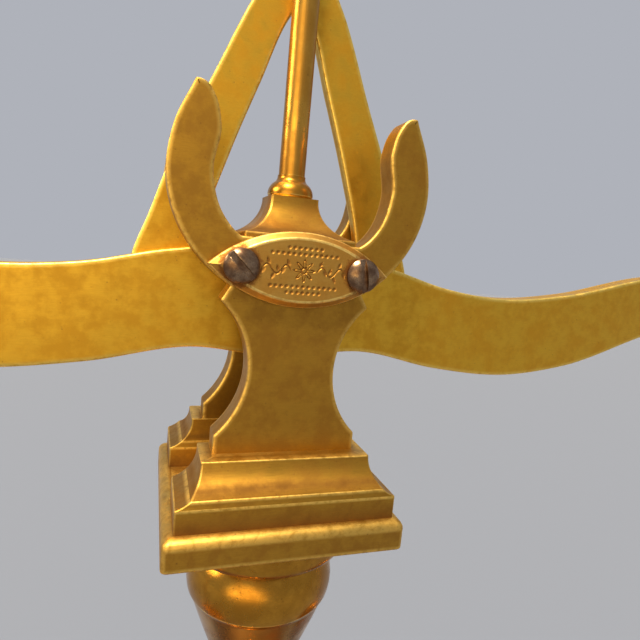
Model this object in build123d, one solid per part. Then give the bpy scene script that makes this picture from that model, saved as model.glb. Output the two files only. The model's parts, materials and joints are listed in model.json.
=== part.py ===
from build123d import *

# An equal-arm column balance: turned column, forked head, harp-framed beam and two hanging pans.
# Millimetres. +Z is up, X runs along the beam, and -Y is the front.
# The origin is on the surface that the feet stand on, below the column's axis.

import os

os.makedirs("parts", exist_ok=True)

# ---------------------------------------------------------------- driving dimensions
FIT = 0.05            # radial clearance of a pin or spigot in its hole
RUN_GAP = 0.40        # side clearance between moving plates
KNIFE_GAP = 0.05      # air between a knife's edge and the bottom of its vee

# plinth and feet
PLINTH_X = 200.0      # plinth length
PLINTH_Y = 150.0      # plinth width
PLINTH_T = 24.0       # plinth thickness
PLINTH_EDGE = 9.0     # size of the hollow moulding round the plinth's top
FOOT_R = 12.0         # bun foot radius
FOOT_H = 10.0         # bun foot height
FOOT_INSET = 18.0     # from the plinth's sides to a foot's axis
COUNTERBORE_R = 13.0  # recess below the plinth for the nut and washer
COUNTERBORE_H = 10.0

# column
PLATE_TOP = 290.0     # height of the square plate's top face
COLUMN_FOOT_R = 36.0  # spread of the column's turned foot
COLUMN_EDGE_H = 9.0   # height of that foot's rounded edge
COLUMN_CONE_H = 21.0  # height at which the spreading foot ends
RING_H = 26.0         # height of the round ring above it
RING_SWELL = 6.1      # that ring outside the shaft
SHAFT_FOOT_R = 11.5   # shaft radius above the ring
SHAFT_HEAD_R = 8.8    # shaft radius below the bulb
BEAD_SWELL = 3.6      # bead near the shaft's top, outside the shaft
BEAD_BELOW = 55.5     # that bead's middle, below the square plate's top
BULB_R = 14.6         # bulb below the square plate
BULB_BELOW = 22.5     # bulb's widest place, below the square plate's top
BULB_FOOT_BELOW = 35.0
BULB_NECK = 3.8       # bulb's top inside its widest radius
FLANGE_R = 17.3       # round flange under the square plate
FLANGE_T = 4.6
FLANGE_LIP = 2.0      # rounded lip under the flange
SPIGOT_R = 5.0        # column spigot that enters the square plate
SPIGOT_SHORT = 1.0    # spigot's end below the plate's top
ROD_THREAD_R = 3.0    # tie rod inside the column
ROD_CLEAR = 2.0       # room over the tie rod's end
NUT_ACROSS = 10.0     # nut size across its flats
NUT_T = 5.0
WASHER_R = 11.0
WASHER_T = 1.6
ROD_TAIL = 1.5        # tie rod below its nut

# square plate and the moulded standards on it
PLATE = 42.0          # side of the square plate
PLATE_T = 5.5
PLATE_ROUND = 1.2
FASCIA_HALF = 19.3    # half width of the standards' foot
FASCIA_H = 5.5        # upright face of that foot, on the front and the rear
SIDE_FASCIA_H = 4.1   # upright face on the left and the right, whose hollow is deeper
LEDGE_HALF = 15.2     # half width at the top of the hollow moulding
LEDGE_H = 10.3
FOOT_HALF = 13.05     # half width of the standard's foot above the ledge
FOOT_TOP = 13.5
WAIST_HALF = 7.9      # narrowest half width of the standard
WAIST_SHARE = 0.515   # height of the waist, as a share of the way from the foot to the wings
WING_HALF = 13.3      # half width of the wings at their lower corner
WING_DROP = 3.8       # wings' lower corner below the knife's edge
NOTCH_INSET = 1.5     # notch between wing and horn, inside the wing's corner
NOTCH_DROP = 1.3      # that notch below the knife's edge
CHEEK_T = 5.4         # thickness of a standard above the ledge
KNIFE_H = 40.9        # centre knife edge above the square plate
CROTCH_RISE = 7.1     # level seat between the two horns, above the knife's edge
CROTCH_HALF = 10.6    # half width of that seat
SCREW_BITE = 4.0      # how far the standards' screws enter them
SCREW_INSET = 5.5     # those screws inside the foot's side faces

# bearings and their caps
BEARING_HALF_X = 5.0
BEARING_LOW = 3.6     # bearing block below the knife's edge
BEARING_HIGH = 4.6    # bearing block above the knife's edge
VEE_LIP = 0.7         # flat left each side of the vee
CAP_HALF = 16.0       # half length of the eye-shaped cap
CAP_RISE = 6.5        # half height of the eye-shaped cap
CAP_RAISE = 2.2       # cap centre above the knife's edge
CAP_T = 2.2
CAP_BEVEL = 1.1
EYE_STRETCH = 1.9     # how much faster the eye shape grows along than across
SCREW_X = 10.65       # cap screws each side of the axis
SCREW_HEAD_R = 2.95
SCREW_HEAD_T = 1.5
SCREW_R = 1.5
SCREW_LENGTH = 5.0
SLOT_W = 1.0
SLOT_DEPTH = 0.8
FRONT_SLOT_TURNS = (-45.0, -80.0)
REAR_SLOT_TURNS = (20.0, 65.0)

# bridge, collar and index rod
BRIDGE_MARGIN = 0.5   # bridge's foot inside the seat's edges
BRIDGE_WALL = 2.0     # bridge's top outside the index rod
BRIDGE_H = 8.1
BRIDGE_FOOT_T = 0.9
COLLAR_WALL = 1.85    # collar outside the index rod
COLLAR_BAND = 0.5
COLLAR_H = 4.2
COLLAR_DOME = 2.9     # height of the collar's dome, below the hollow that meets the rod
INDEX_R = 2.5         # index rod radius
INDEX_RISE = 61.5     # where the index rod's point starts, above the knife's edge
INDEX_POINT = 9.0
INDEX_SOCKET = 5.0    # how deep the index rod sits in the bridge
DOWEL_R = 0.8
DOWEL_LENGTH = 5.0

# beam and harp
ARM_REACH = 170.0     # from the centre knife to an end knife
ARM_FRONT = 1.8       # beam plate in front of the column's axis
HARP_T = 2.6
HARP_CLEAR = 0.5      # air between the index rod and the harp behind it
SLOT_CLEAR = 0.9      # air between the harp and the rear standard
BEAM_STOP = 1.05      # air between the beam's hump and the bridge
HARP_RISE = 55.5      # foot of the harp's crown, above the knife's edge
HARP_JOIN_HALF = 5.6  # half width of the harp where it meets the crown
HARP_FOOT_X = 22.5    # middle of a harp's foot, and its screw
HARP_FOOT_HALF = 5.95
CROWN_R = 7.5
CROWN_LIFT = 0.6      # crown's centre above the harp's top, as a share of its radius
LUG_HALF = 2.2        # small lug on the crown that carries the knob
LUG_RISE = 0.8
END_R = 6.5           # round eye at an arm's end
KNIFE_RISE = 4.0      # height of a knife's section
KNIFE_HALF_X = 2.2    # half width of a knife's section
END_KNIFE_DROP = 0.3  # end knives below the centre knife
HARP_SCREW_R = 1.1
HARP_SCREW_HEAD_R = 2.0
HARP_SCREW_HEAD_T = 1.1
HARP_SCREW_BITE = 3.2 # how far the harp's screws enter the beam from behind
KNOB_R = 3.1          # turned knob on the crown
KNOB_FOOT_R = 1.2
KNOB_H = 9.6
TIP_R = 0.3           # small flat at the end of each turned point

# hangers and pans
STIRRUP_T = 1.8       # side plate thickness
STIRRUP_HALF_X = 6.6
STIRRUP_DROP = 17.0   # from the end knife to the stirrup's cross bar
STIRRUP_BAR_R = 2.6
STIRRUP_RISE = 7.2    # from the end knife to the stirrup's top
WINDOW_HALF = 4.0     # half width of the stirrup's window
WINDOW_FOOT = 2.6     # half width at the window's foot, and at the stirrup's foot
WINDOW_DROP = 9.0     # from the end knife to the window's foot
END_KNIFE_OVERHANG = 1.0
HOOK_WIRE_R = 1.5
HOOK_R = 6.0          # bend radius of the hook
HOOK_DROP = 40.0      # from the end knife to the bottom of the hook's bend
HOOK_NECK = 2.0       # straight stretch of the hook below the cross bar
HOOK_TIP_X = 2.2      # how far the hook's tip turns out
HOOK_TIP_Z = 4.0
EYE_HOLE_R = 2.6      # hole in the top of the bow
EYE_WIRE_R = 1.5
BOW_HALF = 64.0       # half width of the bow
BOW_H = 200.0
BOW_TOP_R = 16.0      # radius of the bow's top
BOW_WIRE_R = 1.5
RING_R = 55.0         # carrying ring under the pan's rim
RING_WIRE_R = 1.6
PAN_R = 60.0
PAN_DEPTH = 15.0
PAN_WALL = 1.0
PAN_INSIDE = 1.2      # pan's wall inside the carrying ring
PAN_CURVE = 22.0      # width of the curve between the pan's floor and its rim

# ---------------------------------------------------------------- levels that follow
PLINTH_TOP = FOOT_H + PLINTH_T
PLATE_BOTTOM = PLATE_TOP - PLATE_T
FLANGE_LOW = PLATE_BOTTOM - FLANGE_T - FLANGE_LIP
HARP_SIDE = INDEX_R + HARP_CLEAR          # beam plate's rear face, on which the harp lies
HARP_BACK = HARP_SIDE + HARP_T
SLOT_HALF = HARP_BACK + SLOT_CLEAR        # half the gap between the front and rear standards
CHEEK_FACE = SLOT_HALF + CHEEK_T
CHEEK_MIDDLE = (SLOT_HALF + CHEEK_FACE) / 2
CAP_FACE = CHEEK_FACE + CAP_T
KNIFE_Z = PLATE_TOP + KNIFE_H
WING_Z = KNIFE_Z - WING_DROP
WAIST_Z = PLATE_TOP + FOOT_TOP + WAIST_SHARE * (KNIFE_H - WING_DROP - FOOT_TOP)
CAP_Z = KNIFE_Z + CAP_RAISE
BRIDGE_Z = KNIFE_Z + CROTCH_RISE
BRIDGE_TOP = BRIDGE_Z + BRIDGE_H
BRIDGE_NECK = INDEX_R + BRIDGE_WALL
COLLAR_R = INDEX_R + COLLAR_WALL
END_KNIFE_Z = KNIFE_Z - END_KNIFE_DROP
END_Z = END_KNIFE_Z - KNIFE_RISE / 2      # centre of the beam's round ends
HUMP_Z = BRIDGE_Z - BEAM_STOP             # top of the beam's hump, below the bridge
HARP_TOP_Z = KNIFE_Z + HARP_RISE
CROWN_Z = HARP_TOP_Z + CROWN_R * CROWN_LIFT
LUG_TOP = CROWN_Z + CROWN_R + LUG_RISE
KNIFE_HALF_Y = CHEEK_FACE - RUN_GAP
SCREW_Y = (FASCIA_HALF + SLOT_HALF) / 2 + 1.2
HANGER_Y = (HARP_SIDE - ARM_FRONT) / 2    # middle of the beam plate, where all that hangs is centred
HOOK_Z = END_KNIFE_Z - HOOK_DROP
BOW_TOP = HOOK_Z - EYE_HOLE_R - EYE_WIRE_R
RING_Z = BOW_TOP - BOW_H


# ---------------------------------------------------------------- small helpers
def upright(face, y_front, y_back):
    """Extrude a face drawn in (X, Z) so that it fills y_front to y_back."""
    plane = Plane(origin=(0, y_back, 0), x_dir=(1, 0, 0), z_dir=(0, -1, 0))
    return extrude(plane * face, amount=y_back - y_front)


def side_on(face, x_low, x_high):
    """Extrude a face drawn in (Y, Z) so that it fills x_low to x_high."""
    plane = Plane(origin=(x_low, 0, 0), x_dir=(0, 1, 0), z_dir=(1, 0, 0))
    return extrude(plane * face, amount=x_high - x_low)


def outline(*edges):
    """Make a face from edges that close on each other."""
    return make_face(list(edges))


def shape(start, *steps):
    """Face with the corners given; a step that is a pair is an arc: a point on it, and its end."""
    edges = []
    here = start
    for step in steps:
        if isinstance(step[0], tuple):
            edges.append(ThreePointArc(here, *step))
            here = step[1]
        else:
            edges.append(Line(here, step))
            here = step
    return outline(*edges, Line(here, start))


def turned(profile):
    """Turn a closed half profile, drawn as (radius, height), about the Z axis."""
    plane = Plane(origin=(0, 0, 0), x_dir=(1, 0, 0), z_dir=(0, -1, 0))
    return revolve(plane * profile, axis=Axis.Z, revolution_arc=360)


def rod(radius, start, end):
    """A round bar between two points."""
    path = Line(start, end)
    return extrude(Plane(origin=start, z_dir=path % 0) * Circle(radius), amount=path.length)


def block(low, high):
    """A box between two opposite corners."""
    size = [b - a for a, b in zip(low, high)]
    centre = [(a + b) / 2 for a, b in zip(low, high)]
    return Pos(*centre) * Box(*size)


def both_sides(shape):
    """The shape and its mirror image across the plane X = 0."""
    return [shape, mirror(shape, about=Plane.YZ)]


def rear_copy(shape):
    """The shape's mirror image across the plane Y = 0."""
    return mirror(shape, about=Plane.XZ)


def save(name, *shapes):
    """Write one node, as one solid or a group of separate solids."""
    solids = [solid for shape in shapes for solid in shape.solids()]
    node = solids[0] if len(solids) == 1 else Compound(children=solids)
    export_step(node, f"parts/{name}.step")


# ---------------------------------------------------------------- plinth and column
def plinth():
    """Wooden board with a hollow moulding round its top, bored for the tie rod."""
    x, y, e = PLINTH_X / 2, PLINTH_Y / 2, PLINTH_EDGE
    low, high = FOOT_H, PLINTH_TOP

    def section(half):
        top = high - e
        left = RadiusArc((-half, top), (-half + e, high), e)
        right = RadiusArc((half - e, high), (half, top), e)
        return outline(
            Line((-half, low), (-half, top)), left, Line((-half + e, high), (half - e, high)),
            right, Line((half, top), (half, low)), Line((half, low), (-half, low)))

    board = upright(section(x), -y, y) & side_on(section(y), -x, x)
    board -= rod(ROD_THREAD_R + FIT, (0, 0, 0), (0, 0, high + 1))
    return board - rod(COUNTERBORE_R, (0, 0, 0), (0, 0, low + COUNTERBORE_H))


def feet():
    """Four turned bun feet, screwed up into the plinth."""
    waist = FOOT_R * 0.6
    foot = turned(shape((0, 0), (waist, 0), ((FOOT_R, FOOT_H * 0.45), (waist, FOOT_H)), (0, FOOT_H)))
    x, y = PLINTH_X / 2 - FOOT_INSET, PLINTH_Y / 2 - FOOT_INSET
    return [Pos(sx * x, sy * y, 0) * foot for sx in (-1, 1) for sy in (-1, 1)]


def column_foot():
    """Profile of the column from the plinth to the shaft: rounded edge, hollow cone and ring."""
    base, edge, cone = PLINTH_TOP, PLINTH_TOP + COLUMN_EDGE_H, PLINTH_TOP + COLUMN_CONE_H
    r, ring, ring_r = COLUMN_FOOT_R, PLINTH_TOP + RING_H, SHAFT_FOOT_R + RING_SWELL
    return [
        (r, base), (r, base + 4), ((r - 2.4, edge - 1.4), (r - 6, edge)), (r - 8, edge),
        ((r - 16, cone - 8), (ring_r - 1.1, cone)), (ring_r - 2.6, cone), (ring_r - 2.6, ring - 3),
        ((ring_r, ring), (ring_r - 2.6, ring + 3)), (SHAFT_FOOT_R, ring + 5)]


def column_head():
    """Profile of the column from the shaft to the flange: long taper, bead, bulb and lip."""
    r, bead, bead_r = SHAFT_HEAD_R, PLATE_TOP - BEAD_BELOW, SHAFT_HEAD_R + BEAD_SWELL
    bulb, low, neck_r = PLATE_TOP - BULB_BELOW, PLATE_TOP - BULB_FOOT_BELOW, BULB_R - BULB_NECK
    return [
        ((SHAFT_FOOT_R + 0.6, PLINTH_TOP + RING_H + 45), (r, bead - 3)), (bead_r - 1, bead - 1.5),
        ((bead_r, bead), (bead_r - 1, bead + 1.5)), (r, bead + 3), (r + 0.9, low),
        ((BULB_R - 2.2, bulb - 5.5), (BULB_R - 0.5, bulb - 0.6)), (BULB_R, bulb),
        ((BULB_R - 0.5, bulb + 6.5), (neck_r, FLANGE_LOW)), (FLANGE_R - 2.2, FLANGE_LOW),
        ((FLANGE_R - 0.6, FLANGE_LOW + 0.7), (FLANGE_R, FLANGE_LOW + 2.2)), (FLANGE_R, PLATE_BOTTOM)]


def column():
    """Turned column, from its spreading foot to the flange and spigot under the square plate."""
    end = PLATE_TOP - SPIGOT_SHORT
    steps = column_foot() + column_head() + [(SPIGOT_R, PLATE_BOTTOM), (SPIGOT_R, end), (0, end)]
    bore = rod(ROD_THREAD_R + FIT, (0, 0, PLINTH_TOP - 1), (0, 0, tie_rod_top() + ROD_CLEAR))
    return turned(shape((0, PLINTH_TOP), *steps)) - bore


def tie_rod_top():
    """Upper end of the tie rod, inside the column's head."""
    return PLATE_BOTTOM - 10


def tie_rod():
    """Steel rod that draws the column down on the plinth."""
    low = FOOT_H + COUNTERBORE_H - WASHER_T - NUT_T - ROD_TAIL
    return rod(ROD_THREAD_R, (0, 0, low), (0, 0, tie_rod_top()))


def tie_washer():
    """Washer against the roof of the recess."""
    top = FOOT_H + COUNTERBORE_H
    disc = rod(WASHER_R, (0, 0, top - WASHER_T), (0, 0, top))
    return disc - rod(ROD_THREAD_R + 0.3, (0, 0, 0), (0, 0, top + 1))


def tie_nut():
    """Hexagon nut on the tie rod, under the washer."""
    top = FOOT_H + COUNTERBORE_H - WASHER_T
    hexagon = RegularPolygon(NUT_ACROSS / 2, 6, major_radius=False)
    nut = Pos(0, 0, top - NUT_T) * extrude(hexagon, amount=NUT_T)
    return nut - rod(ROD_THREAD_R + FIT, (0, 0, 0), (0, 0, top + 1))


# ---------------------------------------------------------------- head of the column
def standard_screw_places():
    """Axes of the four screws that hold the standards down."""
    x = FASCIA_HALF - SCREW_INSET
    return [(sx * x, sy * SCREW_Y) for sx in (-1, 1) for sy in (-1, 1)]


def square_plate():
    """Square plate with softened upper edges, bored for the spigot and four screws."""
    half = PLATE / 2
    plate = block((-half, -half, PLATE_BOTTOM), (half, half, PLATE_TOP))
    plate = fillet(plate.edges().group_by(Axis.Z)[-1], PLATE_ROUND)
    plate -= rod(SPIGOT_R + FIT, (0, 0, PLATE_BOTTOM - 1), (0, 0, PLATE_TOP + 1))
    for x, y in standard_screw_places():
        plate -= rod(SCREW_R + FIT, (x, y, PLATE_BOTTOM - 1), (x, y, PLATE_TOP + 1))
        plate -= rod(SCREW_HEAD_R + 0.2, (x, y, PLATE_BOTTOM - 1), (x, y, PLATE_BOTTOM + SCREW_HEAD_T))
    return plate


def standard_screws():
    """Four flat-headed screws, sunk in the square plate's underside, up into the standards."""
    screws = []
    for x, y in standard_screw_places():
        head = rod(SCREW_HEAD_R, (x, y, PLATE_BOTTOM), (x, y, PLATE_BOTTOM + SCREW_HEAD_T))
        head -= block((x - SLOT_W / 2, y - SCREW_HEAD_R, PLATE_BOTTOM - 1),
                      (x + SLOT_W / 2, y + SCREW_HEAD_R, PLATE_BOTTOM + SLOT_DEPTH))
        shank = rod(SCREW_R, (x, y, PLATE_BOTTOM + SCREW_HEAD_T), (x, y, PLATE_TOP + SCREW_BITE))
        screws.append(head + shank)
    return screws


def moulding(half, low, foot, top_half, top, middle):
    """Section of a square moulding: an upright face, then a hollow, through middle, up to a narrower top."""
    right = shape((0, low), (half, low), (half, foot), (middle, (top_half, top)), (0, top))
    return right + mirror(right, about=Plane.YZ)


def moulded_foot():
    """Square foot with upright faces and hollow mouldings, the side ones deeper, mitred at the corners."""
    half, top = FASCIA_HALF, LEDGE_HALF
    low, high = PLATE_TOP, PLATE_TOP + LEDGE_H
    foot, side_foot = PLATE_TOP + FASCIA_H, PLATE_TOP + SIDE_FASCIA_H
    across = moulding(half, low, side_foot, top, high, (top + 1.4, side_foot + (high - side_foot) * 0.28))
    along = moulding(half, low, foot, top, high, (top + 1.3, foot + (high - foot) * 0.42))
    return upright(across, -half, half) & side_on(along, -half, half)


def horn_edges(notch):
    """Right-hand horn: the outer edge from the notch up to the tip, and the inner edge down to the seat."""
    z = BRIDGE_Z
    tip, shoulder, seat = (19.3, z + 23.4), (16.6, z + 22.0), (CROTCH_HALF, z)
    outer = Spline(notch, (16.6, z - 4.8), (21.0, z + 1.3), (23.1, z + 9.4), (22.2, z + 16.4), tip,
                   tangents=[(1, 0.62), (-0.4, 1)])
    inner = Spline(shoulder, (15.0, z + 17.2), (15.8, z + 9.9), (13.9, z + 3.4), seat,
                   tangents=[(-0.75, -1), (-1, -0.55)])
    return [outer, ThreePointArc(tip, (18.1, z + 23.3), shoulder), inner]


def cheek():
    """Front cheek's outline: foot, waist, wings, notches and the two horns."""
    low, foot_top = PLATE_TOP + LEDGE_H - 2, PLATE_TOP + FOOT_TOP
    wing = (WING_HALF, WING_Z)
    notch = (WING_HALF - NOTCH_INSET, KNIFE_Z - NOTCH_DROP)
    half = outline(
        Line((0, low), (FOOT_HALF, low)), Line((FOOT_HALF, low), (FOOT_HALF, foot_top)),
        ThreePointArc((FOOT_HALF, foot_top), (WAIST_HALF, WAIST_Z), wing), Line(wing, notch),
        *horn_edges(notch), Line((CROTCH_HALF, BRIDGE_Z), (0, BRIDGE_Z)), Line((0, BRIDGE_Z), (0, low)))
    return upright(half + mirror(half, about=Plane.YZ), -CHEEK_FACE, -SLOT_HALF)


def front_standard():
    """Front standard: moulded foot and forked cheek in one casting, bored for its fittings."""
    front_half = block((-PLATE, -PLATE, PLATE_TOP), (PLATE, -SLOT_HALF, BRIDGE_Z))
    body = (moulded_foot() & front_half) + cheek()
    x = BEARING_HALF_X + FIT
    body -= block((-x, -CHEEK_FACE - 1, KNIFE_Z - BEARING_LOW - FIT),
                  (x, -SLOT_HALF + 1, KNIFE_Z + BEARING_HIGH + FIT))
    for sx in (-1, 1):
        body -= rod(SCREW_R + FIT, (sx * SCREW_X, -CHEEK_FACE - 1, CAP_Z),
                    (sx * SCREW_X, -CAP_FACE + SCREW_LENGTH, CAP_Z))
    for x, y in standard_screw_places():
        body -= rod(SCREW_R + FIT, (x, y, PLATE_TOP - 1), (x, y, PLATE_TOP + SCREW_BITE + 0.3))
    y = -CHEEK_MIDDLE
    return body - rod(DOWEL_R + FIT, (0, y, BRIDGE_Z - DOWEL_LENGTH / 2), (0, y, BRIDGE_Z + 1))


def bearing():
    """Steel block with a vee that carries one end of the centre knife."""
    z = KNIFE_Z
    vee_z = z - KNIFE_GAP
    top = z + BEARING_HIGH
    spread = BEARING_HALF_X - VEE_LIP
    section = outline(
        Polyline((-BEARING_HALF_X, z - BEARING_LOW), (BEARING_HALF_X, z - BEARING_LOW),
                 (BEARING_HALF_X, top), (spread, top), (0, vee_z), (-spread, top),
                 (-BEARING_HALF_X, top), (-BEARING_HALF_X, z - BEARING_LOW)))
    return upright(section, -CHEEK_FACE, -SLOT_HALF)


def eye_outline(grow):
    """Two arcs that meet in points: the eye shape, drawn larger or smaller by grow."""
    x, rise = CAP_HALF + grow * EYE_STRETCH, CAP_RISE + grow
    return outline(
        ThreePointArc((-x, CAP_Z), (0, CAP_Z + rise), (x, CAP_Z)),
        ThreePointArc((x, CAP_Z), (0, CAP_Z - rise), (-x, CAP_Z)))


def cap():
    """Eye-shaped bearing cap with a bevelled rim."""
    shoulder = -CAP_FACE + CAP_BEVEL
    body = upright(eye_outline(0), shoulder, -CHEEK_FACE)
    low, high = (Plane(origin=(0, y, 0), x_dir=(1, 0, 0), z_dir=(0, -1, 0)) for y in (shoulder, -CAP_FACE))
    body += loft([low * eye_outline(0), high * eye_outline(-CAP_BEVEL)])
    for sx in (-1, 1):
        body -= rod(SCREW_R + FIT, (sx * SCREW_X, -CAP_FACE - 1, CAP_Z), (sx * SCREW_X, 0, CAP_Z))
    return body


def cap_screws(turns):
    """Two domed, slotted screws; turns gives each slot's angle."""
    r, t = SCREW_HEAD_R, SCREW_HEAD_T
    profile = shape((0, 0), (r, 0), (r, t * 0.35), ((r * 0.66, t * 0.86), (0, t)))
    screws = []
    for sx, turn in zip((-1, 1), turns):
        head = turned(profile)
        head -= Rot(0, 0, turn) * block((-r - 1, -SLOT_W / 2, t - SLOT_DEPTH), (r + 1, SLOT_W / 2, t + 1))
        head += rod(SCREW_R, (0, 0, -SCREW_LENGTH), (0, 0, 0))
        screws.append(Pos(sx * SCREW_X, -CAP_FACE, CAP_Z) * Rot(90, 0, 0) * head)
    return screws


def bridge():
    """Four-sided saddle with hollow sides, seated across both cheeks."""
    x, y = CROTCH_HALF - BRIDGE_MARGIN, CHEEK_FACE - BRIDGE_MARGIN
    foot = BRIDGE_Z + BRIDGE_FOOT_T
    middle = (BRIDGE_NECK + 1.5, foot + (BRIDGE_TOP - foot) * 0.36)
    sections = [moulding(half, BRIDGE_Z, foot, BRIDGE_NECK, BRIDGE_TOP, middle) for half in (x, y)]
    saddle = upright(sections[0], -y, y) & side_on(sections[1], -x, x)
    saddle -= rod(INDEX_R + FIT, (0, 0, BRIDGE_TOP - INDEX_SOCKET), (0, 0, BRIDGE_TOP + 1))
    for y in (-CHEEK_MIDDLE, CHEEK_MIDDLE):
        saddle -= rod(DOWEL_R + FIT, (0, y, BRIDGE_Z - 1), (0, y, BRIDGE_Z + DOWEL_LENGTH / 2))
    return saddle


def bridge_dowels():
    """Two steel dowels between the bridge and the standards."""
    reach = DOWEL_LENGTH / 2 - 0.1
    low, high = BRIDGE_Z - reach, BRIDGE_Z + min(reach, BRIDGE_FOOT_T)
    return [rod(DOWEL_R, (0, y, low), (0, y, high)) for y in (-CHEEK_MIDDLE, CHEEK_MIDDLE)]


def index_collar():
    """Turned collar: a narrow band, a dome, and a hollow that runs up into the index rod."""
    low, top = BRIDGE_TOP, BRIDGE_TOP + COLLAR_H
    band, dome = BRIDGE_TOP + COLLAR_BAND, BRIDGE_TOP + COLLAR_DOME
    r, bore = COLLAR_R, INDEX_R + FIT
    crown, lip = (INDEX_R + 0.65, dome), (bore + 0.12, top)
    return turned(shape((bore, low), (r - 0.25, low), (r, band), ((r - 0.3, band + 1.4), crown),
                        ((INDEX_R + 0.3, dome + 0.45), lip), (bore, top)))


def index_rod():
    """Upright index rod with a fine point."""
    low, shoulder = BRIDGE_TOP - INDEX_SOCKET + 0.1, KNIFE_Z + INDEX_RISE
    tip = shoulder + INDEX_POINT
    point = ((INDEX_R * 0.45, shoulder + INDEX_POINT * 0.35), (TIP_R, tip))
    return turned(shape((0, low), (INDEX_R, low), (INDEX_R, shoulder), point, (0, tip)))


# ---------------------------------------------------------------- beam
def beam_plate():
    """Swan-necked beam cut from plate, with a round eye at each end."""
    z, reach = KNIFE_Z, ARM_REACH
    eye_top, eye_low = (reach - 3.5, END_Z + 5.4), (reach - 3.5, END_Z - 5.4)
    hump, belly = (0, HUMP_Z), (0, z - 15.5)
    top = Spline(hump, (9, HUMP_Z - 0.5), (22, z + 3.7), (36, z + 0.4), (52, z - 0.9), (68, z + 0.9),
                 (reach * 0.56, z + 7.1), (reach * 0.74, z + 9.1), eye_top, tangents=[(1, 0), (1, -0.45)])
    low = Spline(eye_low, (reach * 0.76, z - 1.1), (reach * 0.58, z - 6.7), (70, z - 16.1), (53, z - 18.4),
                 (35, z - 17.1), (17, z - 13.9), belly, tangents=[(-1, 0.2), (-1, 0)])
    eye = ThreePointArc(eye_top, (reach + END_R, END_Z), eye_low)
    plate = upright(outline(top, eye, low, Line(belly, hump)), -ARM_FRONT, HARP_SIDE)
    plate += mirror(plate, about=Plane.YZ)
    plate -= knife_hole(0, KNIFE_Z, 1)
    for sx in (-1, 1):
        plate -= knife_hole(sx * reach, END_KNIFE_Z, -1)
        plate -= harp_screw_bar(sx * HARP_FOOT_X, HARP_SCREW_R + FIT, HARP_SCREW_BITE + 0.2)
    return plate


def harp_screw_bar(x, radius, bite):
    """Round bar through a harp's foot and into the beam plate from behind."""
    return rod(radius, (x, HARP_SIDE - bite, KNIFE_Z), (x, HARP_BACK, KNIFE_Z))


def knife_section(x, edge_z, up, grow=0.0):
    """Three-sided knife section; its edge is at edge_z and its back is above (up=1) or below it."""
    back = edge_z + up * (KNIFE_RISE + grow)
    half = KNIFE_HALF_X + grow
    edge = edge_z - up * grow * 1.6
    return shape((x - half, back), (x + half, back), (x, edge))


def knife_hole(x, edge_z, up):
    """Cutter for a knife's seat in the beam."""
    return upright(knife_section(x, edge_z, up, FIT), -ARM_FRONT - 1, HARP_BACK + 1)


def centre_knife():
    """Steel prism, edge down, across both bearings."""
    return upright(knife_section(0, KNIFE_Z, 1), -KNIFE_HALF_Y, KNIFE_HALF_Y)


def harp():
    """Two bands that rise from the arms to a round crown, behind the index rod."""
    z, foot = KNIFE_Z, KNIFE_Z + 0.5
    join, fork = (HARP_JOIN_HALF, HARP_TOP_Z + 2), (0, HARP_TOP_Z - 3.4)
    outside, inside = (HARP_FOOT_X + HARP_FOOT_HALF, foot), (HARP_FOOT_X - HARP_FOOT_HALF, foot)
    outer = Spline(outside, (25.3, z + 10.5), (21.6, z + 22.0), (15.3, z + 36.5), (9.4, z + 50.2), join,
                   tangents=[(-0.15, 1), (-0.35, 1)])
    inner = Spline(fork, (1.9, z + 49.0), (6.6, z + 36.5), (11.7, z + 22.0), (15.6, z + 8.5), inside,
                   tangents=[(0.5, -1), (0.02, -1)])
    toe = ThreePointArc(inside, (HARP_FOOT_X, z - 5.2), outside)
    plate = upright(outline(inner, toe, outer, Line(join, (0, join[1])), Line((0, join[1]), fork)),
                    HARP_SIDE, HARP_BACK)
    plate += mirror(plate, about=Plane.YZ)
    plate += rod(CROWN_R, (0, HARP_SIDE, CROWN_Z), (0, HARP_BACK, CROWN_Z))
    plate += block((-LUG_HALF, HARP_SIDE, CROWN_Z), (LUG_HALF, HARP_BACK, LUG_TOP))
    for sx in (-1, 1):
        plate -= harp_screw_bar(sx * HARP_FOOT_X, HARP_SCREW_R + FIT, HARP_SCREW_BITE)
    return plate


def harp_screws():
    """Slotted screws behind the harp's feet, sunk in blind holes in the arms."""
    screws = []
    for sx in (-1, 1):
        x, back = sx * HARP_FOOT_X, HARP_BACK + HARP_SCREW_HEAD_T
        head = rod(HARP_SCREW_HEAD_R, (x, HARP_BACK, KNIFE_Z), (x, back, KNIFE_Z))
        head -= block((x - SLOT_W / 3, back - SLOT_DEPTH / 2, KNIFE_Z - HARP_SCREW_HEAD_R - 1),
                      (x + SLOT_W / 3, back + 1, KNIFE_Z + HARP_SCREW_HEAD_R + 1))
        screws.append(head + harp_screw_bar(x, HARP_SCREW_R, HARP_SCREW_BITE))
    return screws


def harp_finial():
    """Turned knob on the crown's lug."""
    low, tip, foot = LUG_TOP, LUG_TOP + KNOB_H, KNOB_FOOT_R
    waist, neck = low + 1.6, tip - 2.2
    knob = turned(shape((0, low), (foot, low), (foot - 0.2, waist), ((KNOB_R, low + 4.4), (foot, neck)),
                        ((foot / 2, neck + 1.3), (TIP_R, tip)), (0, tip)))
    return Pos(0, (HARP_SIDE + HARP_BACK) / 2, 0) * knob


# ---------------------------------------------------------------- hangers, drawn for the right-hand arm
def end_knife():
    """Steel prism, edge up, through the arm's end."""
    reach = ARM_FRONT + RUN_GAP + STIRRUP_T + END_KNIFE_OVERHANG
    back = HARP_SIDE + RUN_GAP + STIRRUP_T + END_KNIFE_OVERHANG
    return upright(knife_section(ARM_REACH, END_KNIFE_Z, -1), -reach, back)


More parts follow.
